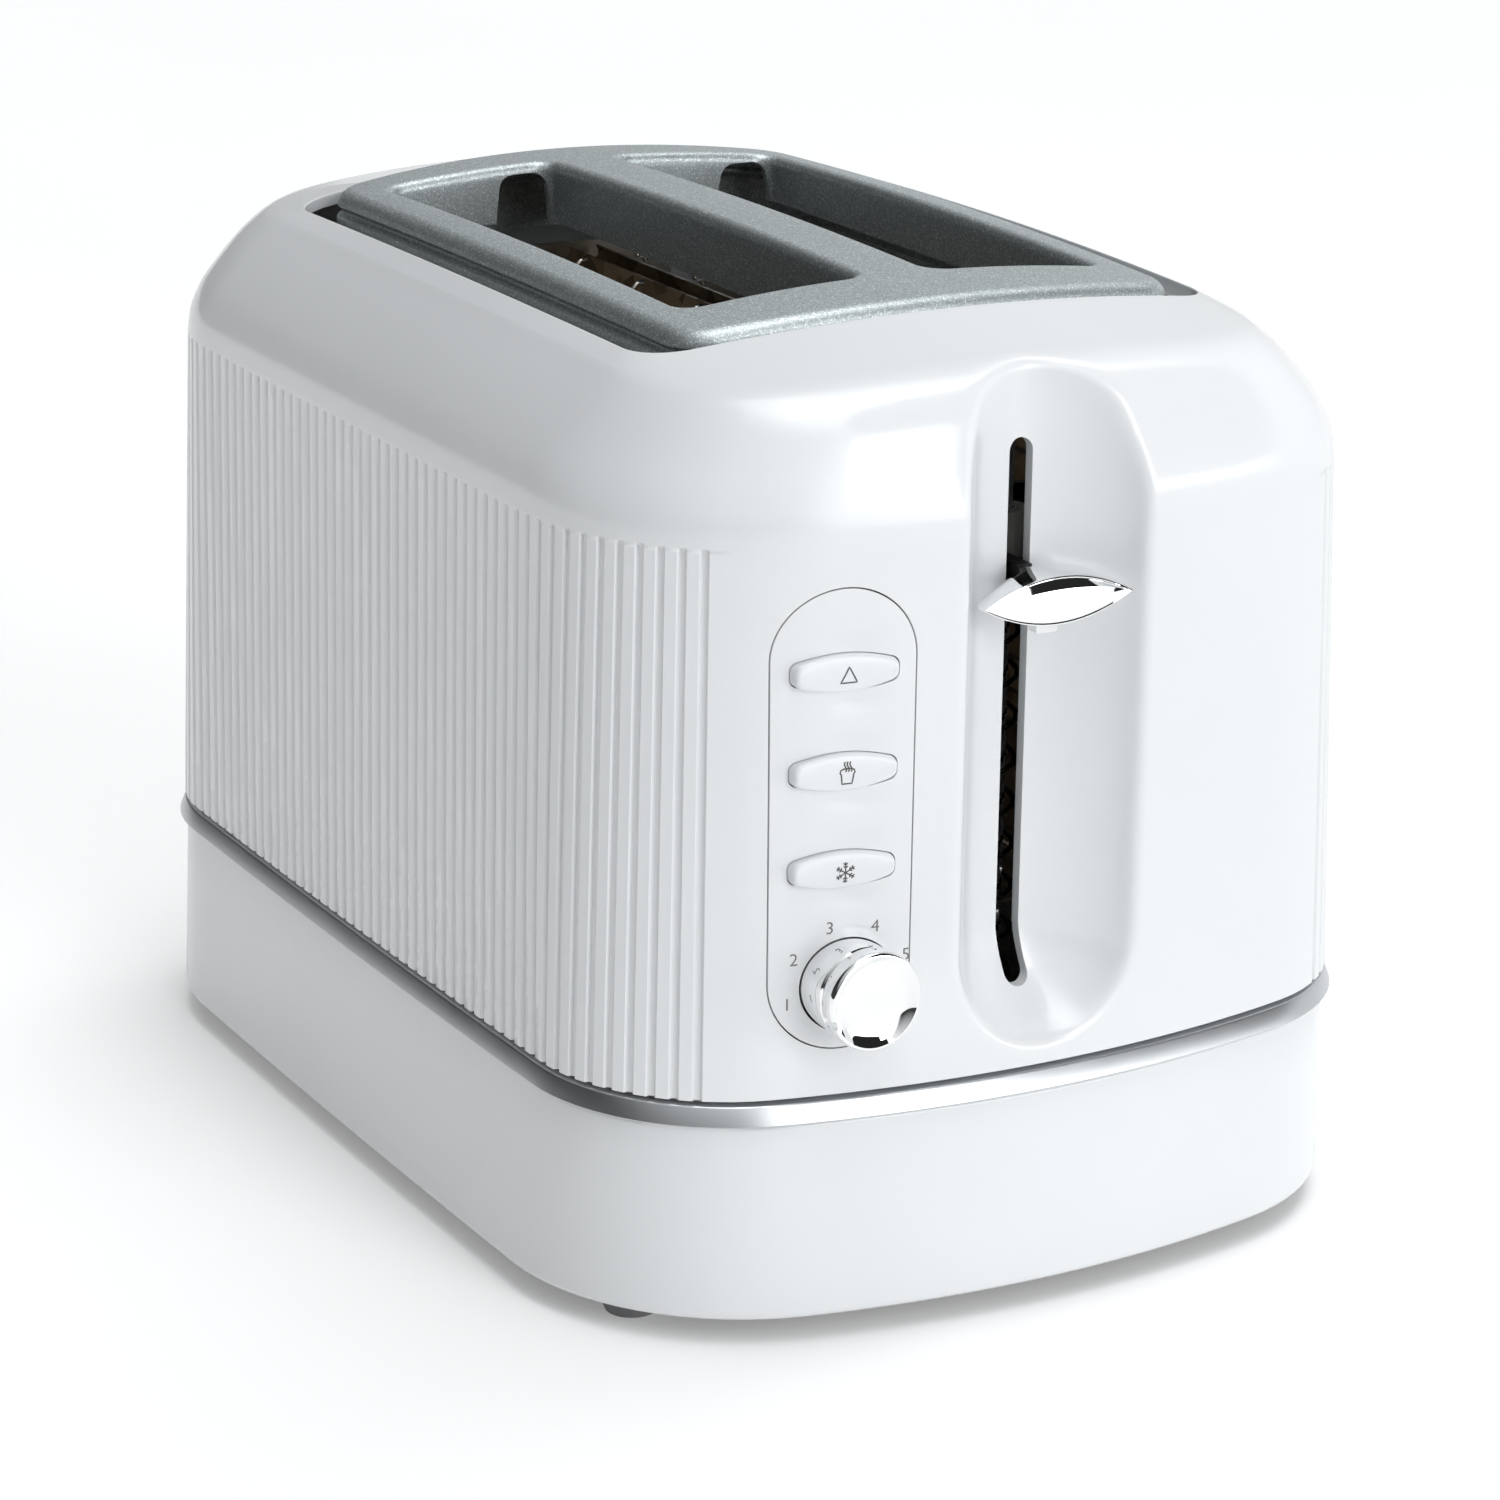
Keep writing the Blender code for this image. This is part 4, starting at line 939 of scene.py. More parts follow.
def frame_solid(sheet, floor):
    """The frame without its slots: skirt, soft step, rolled edge and crowned top, moved in by `sheet`."""
    top = FRAME_TOP - sheet
    profile = [(-5.6, 0.05), (-5.3, 0.2), (-5.0, 0.5), (-4.5, 1.0), (-4.0, 1.1), (-3.5, 0.9), (-3.2, 0.5)]
    roll = 3.0
    profile += [(-roll * fall, 0.3 + roll * inward) for inward, fall in quarter_arc(9)]
    profile += [(0.0, float(inset)) for inset in range(6, 52, 3)]
    low = frame_ring(floor, 0.05 + sheet)
    low[:, 2] = floor
    rings = [low]
    for height, inset in profile:
        if inset + sheet < 53.0:
            rings.append(frame_ring(top + height, inset + sheet))
    seam = rings[-1].copy()
    seam[:, 1] = 0.0
    seam[:, 2] = top + frame_rise(seam[:, 0], seam[:, 1])
    rings.append(seam)
    points = np.array(rings)
    rows, columns = points.shape[:2]
    faces = grid_faces(rows, columns)
    faces.append(tuple(range(columns)))
    return points.reshape(-1, 3).tolist(), faces


def slot_ring(side, grow, height=None, above=0.0):
    """The outline of one bread slot, flat at a height or `above` the frame's top sheet."""
    half_length = (SLOT_FRONT_X - SLOT_REAR_X) / 2 + grow
    centre = ((SLOT_FRONT_X + SLOT_REAR_X) / 2, side * SLOT_MIDDLE)
    corners = rounded_outline(half_length, SLOT_HALF_WIDTH + grow, SLOT_CORNER + grow, centre, 8)
    ring = []
    for first, second in zip(corners, corners[1:] + corners[:1]):
        pieces = 24 if math.dist(first, second) > 20.0 else 1
        for step in range(pieces):
            x = first[0] + (second[0] - first[0]) * step / pieces
            y = first[1] + (second[1] - first[1]) * step / pieces
            ring.append((x, y, height if height is not None else FRAME_TOP + frame_rise(x, y) + above))
    return ring


def slot_cutter(side, grow, lip, low=140.0):
    """A slot that flares at the top, so that its edge is rolled over by `lip`."""
    rings = [slot_ring(side, grow, height=low), slot_ring(side, grow, above=-lip - 1.0)]
    for outward, fall in quarter_arc(7):
        rings.append(slot_ring(side, grow + lip * outward, above=0.02 - lip * fall))
    rings.append(slot_ring(side, grow + lip, above=12.0))
    return loft(rings)


def as_cutter(made):
    """The points and faces of a helper object, which is then removed."""
    shift = Vector((BODY_X, 0.0, 0.0))
    points = [tuple((vert.co - shift) / MM) for vert in made.data.vertices]
    faces = [tuple(face.vertices) for face in made.data.polygons]
    bpy.data.objects.remove(made)
    return points, faces


def end_notch(side, end_x):
    """The round-topped gap in a slot's end wall, next to the slot's +Y side."""
    high_y = side * SLOT_MIDDLE + SLOT_HALF_WIDTH - 1.0
    low_y = high_y - 11.0
    middle = (low_y + high_y) / 2
    top = FRAME_TOP + float(frame_rise(end_x, middle)) - 2.2
    outline = [(low_y - 1.8, 150.0), (high_y + 0.8, 150.0), (high_y + 0.5, 180.0)]
    for start, centre_y, corner in ((0, high_y - 3.0, 3.0), (90, low_y + 3.4, 3.4)):
        for step in range(7):
            angle = math.radians(start + 90 * step / 6)
            outline.append((centre_y + corner * math.cos(angle), top - corner + corner * math.sin(angle)))
    outline.append((low_y - 0.6, 181.0))
    return prism(outline, end_x - SLOT_CORNER, end_x + SLOT_CORNER)


def slot_frame(looks):
    """One closed pressing: crowned sheet, skirt, and a short collar with a rolled lip round each slot."""
    pressing = new_object("slot_frame_pressing", *frame_solid(0.0, FRAME_LOW), merge=0.01)
    hollow = new_object("hollow", *frame_solid(FRAME_SHEET, FRAME_LOW - 10.0), merge=0.01)
    hollow_lip = SLOT_LIP + FRAME_SHEET - 1.0
    carve(hollow, [slot_cutter(side, COLLAR_SHEET, hollow_lip, COLLAR_BOTTOM) for side in (-1, 1)])
    carve(pressing, [as_cutter(hollow)])
    for side in (-1, 1):
        carve(pressing, [slot_cutter(side, 0.0, SLOT_LIP)])
        carve(pressing, [end_notch(side, end_x) for end_x in (SLOT_REAR_X, SLOT_FRONT_X)])
    settle(pressing, looks["silver"], "housing", ["slot_frame"], angle=38)


# Control panel


def face_x(y, z):
    """Where the casing's front face is, for arrays of y and z."""
    y = np.asarray(y, float)
    z = np.asarray(z, float)
    heights = np.linspace(PANEL_BOTTOM - 2, PANEL_TOP + 2, 12)
    table = []
    for height in heights:
        x, across, _, _ = outline_point(outline_arcs(station_at(STRAIGHT, height)), DENSE)
        table.append(np.interp(np.abs(y), across, x))
    table = np.array(table)
    place = np.clip((z - heights[0]) / (heights[1] - heights[0]), 0, len(heights) - 1.001)
    below = place.astype(int)
    share = place - below
    low = np.take_along_axis(table, below[None], 0)[0]
    high = np.take_along_axis(table, below[None] + 1, 0)[0]
    return low * (1 - share) + high * share


def button_half_height(across, grow=0.0):
    """Half the height of a button at `across` (-1..1): a stretched lens with rounded corners."""
    across = np.abs(across)
    lens = BUTTON_END_HALF_HEIGHT + (BUTTON_HALF_HEIGHT - BUTTON_END_HALF_HEIGHT) * (1 - across**2) + grow
    corner = np.clip((across - 0.88) / 0.12, 0, 1)
    return lens * (0.4 + 0.6 * np.sqrt(1 - corner**2))


def bezel_x(y, z):
    """The panel's face: the casing's own bow with a finger dish above and below each button."""
    x = face_x(y, z)
    for centre_z in BUTTON_HEIGHTS:
        for side in (-1, 1):
            middle_z = centre_z + side * (BUTTON_HALF_HEIGHT + 1.6)
            x = x - 0.75 * np.exp(-(((y - PANEL_Y - 1.0) / 6.0) ** 2) - ((z - middle_z) / 2.6) ** 2)
    around = np.hypot(y - DIAL_Y, z - DIAL_Z)
    return x - 0.25 * np.exp(-(((around - DIAL_RADIUS) / 1.6) ** 2))


def button_outline(centre_z, grow=0.0, steps=40):
    """The outline of a push button, upper edge first."""
    across = np.cos(np.linspace(0, math.pi, steps + 1))
    y = PANEL_Y + (BUTTON_HALF_WIDTH + grow) * across
    rise = button_half_height(across, grow)
    upper = [(a, centre_z + b) for a, b in zip(y, rise)]
    lower = [(a, centre_z - b) for a, b in zip(y[::-1], rise[::-1])]
    return upper + lower


def control_bezel(looks):
    """The panel insert: a dished plate cut to the panel's outline, with holes for the controls."""
    y = np.linspace(PANEL_Y - PANEL_HALF_WIDTH - 1, PANEL_Y + PANEL_HALF_WIDTH + 1, 64)
    z = np.linspace(PANEL_BOTTOM - 1, PANEL_TOP + 1, 186)
    grid_y, grid_z = np.meshgrid(y, z)
    front = np.stack([bezel_x(grid_y, grid_z), grid_y, grid_z], axis=-1)
    back = front.copy()
    back[..., 0] = face_x(grid_y, grid_z) - WALL
    rows, columns = grid_y.shape
    count = rows * columns
    faces = grid_faces(rows, columns, wrap_columns=False)
    faces += [tuple(count + index for index in face) for face in faces]
    border = list(range(columns))
    border += [i * columns + columns - 1 for i in range(1, rows)]
    border += [(rows - 1) * columns + j for j in range(columns - 2, -1, -1)]
    border += [i * columns for i in range(rows - 2, 0, -1)]
    for a, b in zip(border, border[1:] + border[:1]):
        faces.append((a, b, b + count, a + count))
    points = np.concatenate([front.reshape(-1, 3), back.reshape(-1, 3)]).tolist()
    bezel = new_object("control_bezel_moulding", points, faces)
    low, high = CUT_THROUGH
    half_width = PANEL_HALF_WIDTH - PANEL_GAP
    keep = stadium(PANEL_Y, half_width, PANEL_BOTTOM + PANEL_GAP, PANEL_TOP - PANEL_GAP, 48)
    carve(bezel, [prism(keep, low, high)], "INTERSECT")
    holes = [prism(button_outline(centre_z, BUTTON_GAP), low, high) for centre_z in BUTTON_HEIGHTS]
    radius = DIAL_RADIUS + DIAL_GAP
    holes.append(turned("X", (DIAL_Y, DIAL_Z), ((low, radius), (high, radius)), 72))
    carve(bezel, holes)
    settle(bezel, looks["white"], "housing", ["control_bezel"], angle=35)


def pad_x(y, z, centre_z):
    """The front of a push button: it leans with the panel and is slightly crowned."""
    across = np.clip((np.asarray(y) - PANEL_Y) / BUTTON_HALF_WIDTH, -1, 1)
    share = (np.asarray(z) - centre_z) / button_half_height(across)
    crown = 0.45 * (1 - share**2)
    return BUTTON_FACE_X + BUTTON_FACE_SLOPE * (np.asarray(y) - PANEL_Y) + crown


def skin(layers):
    """Faces between rows of point numbers; where two rows share an end point, the face has three sides."""
    faces = []
    for upper, lower in zip(layers, layers[1:]):
        for j in range(len(upper) - 1):
            corners = tuple(dict.fromkeys((upper[j], upper[j + 1], lower[j + 1], lower[j])))
            if len(corners) > 2:
                faces.append(corners)
    return faces


def push_buttons(looks):
    """Lens-shaped pads with a rounded edge and a crowned face."""
    steps = 40
    count = 2 * (steps + 1)
    levels = 8
    for name, centre_z in zip(BUTTON_NAMES, BUTTON_HEIGHTS):
        rings = [[(BUTTON_BACK_X, y, z) for y, z in button_outline(centre_z, 0.0, steps)]]
        for inward, fall in quarter_arc(5):
            outline = button_outline(centre_z, -BUTTON_EDGE * inward, steps)
            rings.append([(float(pad_x(y, z, centre_z)) - BUTTON_EDGE * fall, y, z) for y, z in outline])
        points = [point for ring in rings for point in ring]
        faces = grid_faces(len(rings), count)
        faces.append(tuple(range(count)))
        last = (len(rings) - 1) * count
        layers = [[last + j for j in range(steps + 1)]]
        for level in range(1, levels):
            row = []
            for y, z in outline[: steps + 1]:
                height = centre_z + (z - centre_z) * (1 - 2 * level / levels)
                row.append(len(points))
                points.append((float(pad_x(y, height, centre_z)), y, height))
            layers.append(row)
        layers.append([last + count - 1 - j for j in range(steps + 1)])
        faces += skin(layers)
        faces.append(tuple(row[-1] for row in layers))
        faces.append(tuple(row[0] for row in layers))
        pad = new_object(f"button_pad_{name}", points, faces)
        settle(pad, looks["button"], f"{name}_button", [f"button_{name}"], angle=50)


def ribbon(path, width, place, closed=False):
    """A flat printed stroke: `path` is 2-D, `place` gives the x of the surface under a point."""
    path = [Vector(point) for point in path]
    pairs = list(zip(path, path[1:] + path[:1]))
    dense = []
    for first, second in pairs if closed else pairs[:-1]:
        pieces = max(1, round((second - first).length / 0.5))
        dense += [first.lerp(second, step / pieces) for step in range(pieces)]
    if not closed:
        dense.append(path[-1])
    rings = []
    for point, along in zip(dense, directions(dense, closed)):
        normal = Vector((-along.y, along.x)) * width / 2
        corners = (point + normal, point - normal)
        ring = [(float(place(c.x, c.y)) + PRINT_ABOVE, c.x, c.y) for c in corners]
        ring += [(float(place(c.x, c.y)) - PRINT_BELOW, c.x, c.y) for c in reversed(corners)]
        rings.append(ring)
    return loft(rings, closed)


def symbol_strokes():
    """Line symbols for the three buttons, as (path, closed) pairs round their own centre, in mm."""
    triangle = [([(-1.65, -1.35), (1.65, -1.35), (0.0, 1.65)], True)]
    right = [(1.0, -1.75), (1.25, 0.1), (1.5, 0.45), (1.35, 0.95), (0.7, 1.2)]
    toast = [([(-1.0, -1.75), *right, *[(-x, y) for x, y in right[:0:-1]]], True)]
    for x in (-0.55, 0.0, 0.55):
        steam = []
        for step in range(9):
            share = step / 8
            steam.append((x + 0.14 + 0.2 * math.sin(2 * math.pi * share), 0.6 + 1.9 * share))
        toast.append((steam, False))
    flake = []
    for number in range(6):
        angle = math.radians(90 + 60 * number)
        out = Vector((math.cos(angle), math.sin(angle)))
        flake.append(([(0.0, 0.0), tuple(out * 2.05)], False))
        for reach in (0.95, 1.5):
            for turn in (-1, 1):
                branch = Vector((math.cos(angle + turn * 0.9), math.sin(angle + turn * 0.9)))
                start = out * reach
                flake.append(([tuple(start), tuple(start + branch * 0.55)], False))
    return {"cancel": triangle, "reheat": toast, "defrost": flake}


def button_symbols(looks):
    """The printed symbol on each push button."""
    widths = {"cancel": 0.27, "reheat": 0.27, "defrost": 0.24}
    for name, strokes in symbol_strokes().items():
        centre_z = BUTTON_HEIGHTS[BUTTON_NAMES.index(name)]

        def place(y, z, middle=centre_z):
            return pad_x(y, z, middle)

        parts = []
        for path, closed in strokes:
            moved = [(PANEL_Y + y, centre_z - 0.3 + z) for y, z in path]
            parts.append(ribbon(moved, widths[name], place, closed))
        symbol = new_object(f"symbol_{name}", *join_parts(parts))
        settle(symbol, looks["ink"], f"{name}_button", angle=30)


def digit_mesh(number):
    """The points and faces of one printed figure, upright round its own centre."""
    curve = bpy.data.curves.new("digit", "FONT")
    curve.body = str(number)
    curve.size = 3.5
    curve.extrude = 0.5
    curve.offset = -0.03
    curve.align_x = "CENTER"
    curve.align_y = "CENTER"
    curve.resolution_u = 4
    made = bpy.data.objects.new("digit", curve)
    bpy.context.scene.collection.objects.link(made)
    bpy.context.view_layer.update()
    mesh = bpy.data.meshes.new_from_object(made.evaluated_get(bpy.context.evaluated_depsgraph_get()))
    bpy.data.objects.remove(made)
    return [tuple(vert.co) for vert in mesh.vertices], [tuple(face.vertices) for face in mesh.polygons]


def dial_numbers(looks):
    """The numbers 1 to 6 printed round the browning dial."""
    first_angle = 194.0
    turn = 42.7
    parts = []
    for number in range(6):
        angle = math.radians(first_angle - turn * number)
        flat, faces = digit_mesh(number + 1)
        points = []
        for across, up, through in flat:
            y = DIAL_Y + NUMBER_RADIUS * math.cos(angle) + across
            z = DIAL_Z + NUMBER_RADIUS * math.sin(angle) + up
            surface = float(bezel_x(np.array([[y]]), np.array([[z]]))[0, 0])
            points.append((surface + (PRINT_ABOVE if through > 0 else -PRINT_BELOW), y, z))
        parts.append((points, faces))
    printed = new_object("dial_numbers", *join_parts(parts), merge=0.001)
    settle(printed, looks["pale_ink"], "housing", angle=30)


def dial_knob(looks):
    """Chrome barrel with a wider, dished cap and a notch that points at the numbers."""
    back = DIAL_LOW.x
    front = DIAL_HIGH.x
    profile = [
        (back, DIAL_RADIUS - 0.5),
        (back + 0.15, DIAL_RADIUS - 0.15),
        (back + 0.5, DIAL_RADIUS),
        (front - 5.9, DIAL_RADIUS),
        (front - 5.4, DIAL_RADIUS - 0.1),
        (front - 5.2, DIAL_RADIUS - 0.35),
        (front - 4.9, DIAL_RADIUS - 0.35),
        (front - 4.6, DIAL_RADIUS),
        (front - 4.0, DIAL_CAP_RADIUS - 0.2),
        (front - 3.5, DIAL_CAP_RADIUS),
        (front - 1.2, DIAL_CAP_RADIUS),
    ]
    edge = 1.2
    for inward, fall in quarter_arc(8)[1:]:
        profile.append((front - edge * fall, DIAL_CAP_RADIUS - edge * 0.6 * inward))
    dish = DIAL_CAP_RADIUS - edge * 0.6 - 0.15
    dish_depth = 1.5
    flat = 5.6
    profile.append((front, dish))
    for step in range(1, 13):
        radius = dish + (flat - dish) * step / 12
        fall = 1 - ((radius - flat) / (dish - flat)) ** 2
        profile.append((front - dish_depth * fall, radius))
    profile.append((front - dish_depth - 0.05, 0.8))
    knob = new_object("dial_knob_chrome", *turned("X", (DIAL_Y, DIAL_Z), profile, 96))
    angle = math.radians(200.0)
    reach = DIAL_CAP_RADIUS + 0.35
    notch = (DIAL_Y + reach * math.cos(angle), DIAL_Z + reach * math.sin(angle))
    carve(knob, [turned("X", notch, ((front - 4.4, 1.15), (front + 5.0, 1.3)), 24)])
    settle(knob, looks["chrome"], "dial", ["dial_knob"], angle=40)


# Lever


LENS_STEPS = 28


def lens_ring(x, half_width, half_height):
    """An eye-shaped outline: two arcs that meet in a tip at each side."""
    across = np.cos(np.linspace(0, math.pi, LENS_STEPS + 1))
    rise = half_height * (1 - np.abs(across) ** 2.0)
    upper = [(x, LEVER_Y + half_width * a, REST_Z + b) for a, b in zip(across, rise)]
    lower = [(x, LEVER_Y - half_width * a, REST_Z - b) for a, b in zip(across[1:-1], rise[1:-1])]
    return upper + lower


def lever_front(edge, inner_width, front):
    """The knob's face: facets above and below a ridge, the upper one turned back along its top edge.

    Gives new points and rows of point numbers; the outline's own points are numbered from 0.
    """
    steps = LENS_STEPS
    levels = 10
    bevel_start = 0.6
    count = len(edge)
    edge_x = edge[0][0]
    ridge_z = REST_Z + 0.5
    points = []

    def add_row(side, share):
        """One row across the face, part of the way from the ridge to the outline."""
        fall = share**0.9
        if side > 0:
            fall = 0.44 * share + 1.4 * max(0.0, share - bevel_start)
        row = [0]
        for _, y, z in edge[1:steps]:
            rim_z = z if side > 0 else 2 * REST_Z - z
            across = 1 - min(1.0, abs(y - LEVER_Y) / inner_width) ** 2
            row.append(count + len(points))
            x = edge_x + (front - edge_x) * across * (1 - fall)
            points.append((x, y, ridge_z + (rim_z - ridge_z) * share))
        return row + [steps]

    ridge = add_row(1, 0.0)
    upper = [ridge] + [add_row(1, level / levels) for level in range(1, levels)]
    lower = [ridge] + [add_row(-1, level / levels) for level in range(1, levels)]
    upper.append(list(range(steps + 1)))
    lower.append([0] + [count - j for j in range(1, steps)] + [steps])
    return points, skin(upper) + skin(lower)


def lever_knob(looks):
    """The chrome knob, with the small locating tab that shows under it."""
    low, high = node_box("lever_knob")
    half_width = (high.y - low.y) / 2
    half_height = (high.z - low.z) / 2
    body = (
        (0.0, 0.30, 0.80),
        (1.2, 0.42, 0.82),
        (2.9, 0.62, 0.86),
        (5.0, 0.80, 0.91),
        (7.4, 0.93, 0.955),
        (9.4, 0.985, 0.985),
        (10.5, 1.0, 1.0),
        (11.2, 1.0, 1.0),
        (11.55, 0.992, 0.975),
        (11.65, 0.975, 0.93),
        (11.5, 0.955, 0.875),
        (11.55, 0.945, 0.85),
    )
    rings = [lens_ring(low.x + x, half_width * w, half_height * h) for x, w, h in body]
    count = len(rings[0])
    faces = grid_faces(len(rings), count)
    faces.append(tuple(range(count)))
    front_points, front_faces = lever_front(rings[-1], half_width * body[-1][1], high.x)
    last = (len(rings) - 1) * count
    faces += [tuple(last + index for index in face) for face in front_faces]
    points = [point for ring in rings for point in ring] + front_points
    knob = new_object("lever_knob_chrome", points, faces)
    settle(knob, looks["chrome"], "lift", ["lever_knob"], angle=24)
    tab_ring = rounded_outline(2.3, 1.2, 0.5, (LEVER_Y - 1.8, low.z - 0.3))
    tab = new_object("lever_knob_tab", *prism(tab_ring, low.x + 7.6, low.x + 10.4))
    settle(tab, looks["white"], "lift")


# Oven


def bread_guards(looks):
    """Round-wire guards; the tops of the uprights are hooked outwards, away from the bread."""
    radius = 0.75
    hook = 1.9
    uprights = [-55.5 + 26.6 * number for number in range(5)]
    for side, name in ((-1, "left"), (1, "right")):
        for place in ("inner", "outer"):
            node = f"bread_guard_{name}_{place}"
            low, high = node_box(node)
            y = (low.y + high.y) / 2
            outward = -side if place == "inner" else side
            parts = []
            for z in (low.z + radius, 112.7, 165.7):
                parts.append(wire([(low.x + radius, y, z), (0.0, y, z), (high.x - radius, y, z)], radius))
            bend_z = high.z - hook - 0.7
            for x in uprights:
                path = [(x, y, low.z), (x, y, (low.z + high.z) / 2), (x, y, bend_z)]
                for step in range(1, 8):
                    angle = math.radians(105 * step / 7)
                    bend = hook * (1 - math.cos(angle))
                    path.append((x, y + outward * bend, bend_z + hook * math.sin(angle)))
                parts.append(wire(path, radius * 0.8))
            guard = new_object(f"{node}_wires", *join_parts(parts))
            settle(guard, looks["guard"], f"guard_{name}_{place}", [node], angle=60)


def toothed_outline(low, high, teeth=20, tooth=1.2):
    """A card's outline in (x, z), with notches up both ends that hold the heating wire."""
    rise = (high.z - low.z) / teeth
    outline = []
    for step in range(teeth):
        z = low.z + rise * step
        for x, share in ((high.x, 0.0), (high.x, 0.6), (high.x - tooth, 0.7), (high.x - tooth, 0.9)):
            outline.append((x, z + rise * share))
    outline.append((high.x, high.z))
    return outline + [(-x, z) for x, z in reversed(outline)]


def element_cards(looks):
    """Mica boards with notched ends, wound with flat heating wire."""
    turns = 17
    strip = (0.9, 0.12)
    for name in ("left", "right"):
        for place in ("inner", "outer"):
            node = f"element_card_{name}_{place}"
            low, high = node_box(node)
            card = new_object(f"{node}_board", *prism(toothed_outline(low, high), low.y, high.y, "Y"))
            settle(card, looks["mica"], "housing", [node], angle=30)
            middle = (low.y + high.y) / 2
            half = (high.y - low.y) / 2 + strip[1]
            parts = []
            for turn in range(turns):
                z = low.z + (high.z - low.z) * (turn + 0.8) / (turns + 0.6)
                for face in (-1, 1):
                    y = middle + face * half
                    rise = 0.9 * face
                    path = [(low.x + 1.0, y, z - rise), (0.0, y, z), (high.x - 1.0, y, z + rise)]
                    parts.append(flat_strip(path, *strip))
            winding = new_object(f"{node}_winding", *join_parts(parts))
            settle(winding, looks["nichrome"], "housing", angle=30)


def flat_strip(path, width, thickness):
    """A flat wire along a path that runs in X, upright in its own section."""
    rings = []
    for x, y, z in path:
        a = width / 2
        b = thickness / 2
        rings.append([(x, y - b, z - a), (x, y + b, z - a), (x, y + b, z + a), (x, y - b, z + a)])
    return loft(rings)


def cord_gland(looks):
    """The bush that the power cord would pass through, in the rear of the base."""
    low, high = node_box("cord_gland")
    centre = ((low.y + high.y) / 2, (low.z + high.z) / 2)
    outer = (high.y - low.y) / 2
    bore = 3.6
    neck = CORD_HOLE_RADIUS - 0.5
    flange = low.x + 2.6
    profile = (
        (low.x, bore + 0.3),
        (low.x + 0.3, bore),
        (high.x, bore),
        (high.x, neck),
        (flange, neck),
        (flange, outer),
        (low.x + 1.0, outer),
        (low.x + 0.3, outer - 0.4),
        (low.x, outer - 1.2),
    )
    gland = new_object("cord_gland_bush", *turned("X", centre, profile, 56, closed=True))
    settle(gland, looks["black"], "housing", ["cord_gland"])


# CAD nodes that keep their own shape


def dress_cad_nodes(looks):
    """Materials for the CAD nodes that are shown as they are."""
    numbered = [f"base_screw_{number}" for number in range(1, 5)]
    plain = {
        "black": ["bottom_plate", "switch_cancel", "switch_reheat", "switch_defrost", "power_switch"],
        "steel": [
            *numbered, "dial_shaft", "potentiometer", "lift_rack_left", "lift_rack_right", "mechanism_base",
            "rod_bracket", "magnet_core",
        ],
        "hot_steel": ["front_plate", "rear_plate", "heat_shield_left", "heat_shield_right"],
        "tray": ["crumb_tray"],
        "white": ["crumb_tray_handle"],
        # The return spring wears black steel instead of its own plated steel: painted shade, so that it
        # stays dark through the lever slot.
        "black_metal": ["lever_arm", "return_spring", "carriage_bracket", "latch_armature"],
        "copper": ["magnet_coil"],
        "board": ["control_board"],
        "nylon": ["carriage_bush"],
        "chrome": ["guide_rod"],
    }
    for look, names in plain.items():
        for name in names:
            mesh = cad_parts[name].data
            mesh.materials.clear()
            mesh.materials.append(looks[look])


# Surroundings


def studio_floor():
    """A pale light table: a matt white sheet that glows a little, so the toaster stands in soft light."""
    look = Look("studio_floor")
    look.colour(look.noise(3.0, 3.0), (0.3, (0.78, 0.78, 0.78)), (0.7, (0.80, 0.80, 0.80)))
    look.inputs["Roughness"].default_value = 0.7
    look.inputs["Specular IOR Level"].default_value = 0.2
    look.inputs["Emission Color"].default_value = (1.0, 1.0, 1.0, 1.0)
    look.inputs["Emission Strength"].default_value = FLOOR_GLOW
    half = 12.0
    corners = [(-half, -half, 0), (half, -half, 0), (half, half, 0), (-half, half, 0)]
    mesh = bpy.data.meshes.new("floor")
    mesh.from_pydata(corners, [], [(0, 1, 2, 3)])
    mesh.materials.append(look.material)
    floor = bpy.data.objects.new("studio_floor", mesh)
    bpy.context.scene.collection.objects.link(floor)


def sky_part(tree, place, direction, start, end, low, high):
    """World brightness that goes from low to high as the view turns towards a direction."""
    dot = add_node(tree, "ShaderNodeVectorMath", operation="DOT_PRODUCT")
    dot.inputs[1].default_value = Vector(direction).normalized()
    tree.links.new(place, dot.inputs[0])
    return spread(tree, dot.outputs["Value"], low, high, start, end)


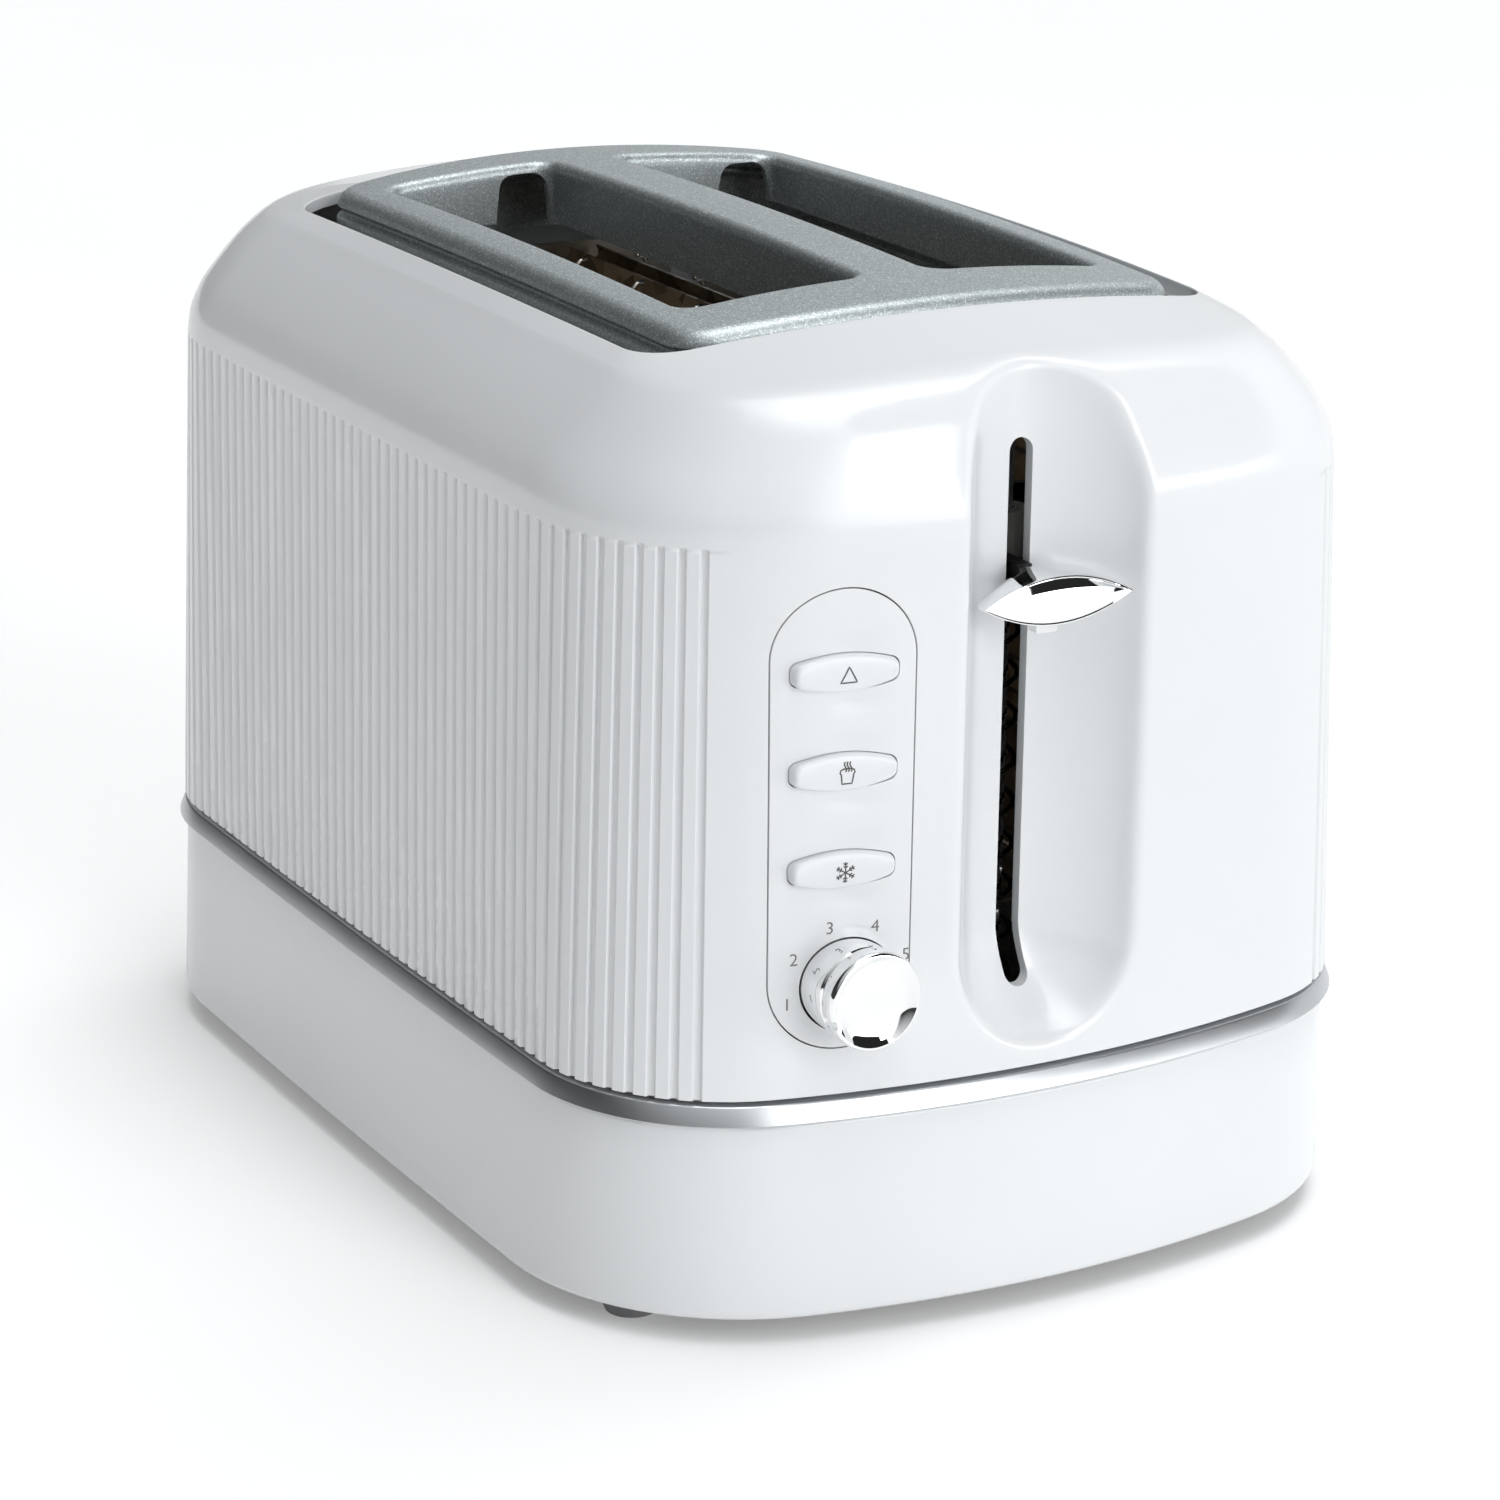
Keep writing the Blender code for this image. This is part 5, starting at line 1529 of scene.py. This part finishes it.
def world_light():
    """A dim tent round the ribbed sides, with bright soft areas in front of the control end."""
    world = bpy.data.worlds.new("studio")
    bpy.context.scene.world = world
    world.use_nodes = True
    tree = world.node_tree
    place = tree.nodes.new("ShaderNodeTexCoord").outputs["Generated"]
    total, *others = [sky_part(tree, place, *lobe) for lobe in SKY_LOBES]
    for part in others:
        add = add_node(tree, "ShaderNodeMath", operation="ADD")
        tree.links.new(total, add.inputs[0])
        tree.links.new(part, add.inputs[1])
        total = add.outputs["Value"]
    darkest = add_node(tree, "ShaderNodeMath", operation="MAXIMUM")
    darkest.inputs[1].default_value = 0.02
    tree.links.new(total, darkest.inputs[0])
    background = tree.nodes["Background"]
    tree.links.new(darkest.outputs["Value"], background.inputs["Strength"])
    background.inputs["Color"].default_value = (0.97, 0.99, 1.0, 1.0)


def area_light(name, location, target, size, power):
    """A soft rectangular light that faces a target."""
    data = bpy.data.lights.new(name, "AREA")
    data.shape = "RECTANGLE"
    data.size, data.size_y = size
    data.energy = power
    made = bpy.data.objects.new(name, data)
    made.location = location
    made.rotation_mode = "QUATERNION"
    made.rotation_quaternion = (Vector(target) - Vector(location)).to_track_quat("-Z", "Y")
    bpy.context.scene.collection.objects.link(made)


def studio_lights():
    """Two weak softboxes, for highlights on top of the even light of the tent."""
    aim = (0.0, 0.0, 0.12)
    area_light("window_softbox", (2.23, 0.52, 1.39), aim, (0.6, 0.8), 6.0)
    area_light("top_softbox", (0.0, -0.1, 2.4), aim, (1.2, 0.8), 5.0)


def camera():
    """Looks down at the control end's left corner, with a long lens and a slight roll."""
    azimuth = math.radians(60.9013)
    elevation = math.radians(17.7204)
    roll = math.radians(0.7324)
    distance = 0.9747
    target = Vector((0.009567 + BODY_X, 0.0, 0.078066))
    back = Vector((math.sin(azimuth), -math.cos(azimuth), math.tan(elevation))).normalized()
    data = bpy.data.cameras.new("camera")
    data.sensor_width = 36.0
    data.lens = 109.873
    made = bpy.data.objects.new("camera", data)
    made.location = target + back * distance
    made.rotation_mode = "QUATERNION"
    made.rotation_quaternion = back.to_track_quat("Z", "Y") @ Quaternion((0.0, 0.0, 1.0), roll)
    bpy.context.scene.collection.objects.link(made)
    bpy.context.scene.camera = made


bpy.context.scene.view_settings.view_transform = "Standard"
camera()
looks = make_looks()
upper_shell(looks)
trim_band(looks)
base_skirt(looks)
feet(looks)
slot_frame(looks)
control_bezel(looks)
push_buttons(looks)
button_symbols(looks)
dial_numbers(looks)
dial_knob(looks)
lever_knob(looks)
bread_guards(looks)
element_cards(looks)
cord_gland(looks)
dress_cad_nodes(looks)
studio_floor()
world_light()
studio_lights()
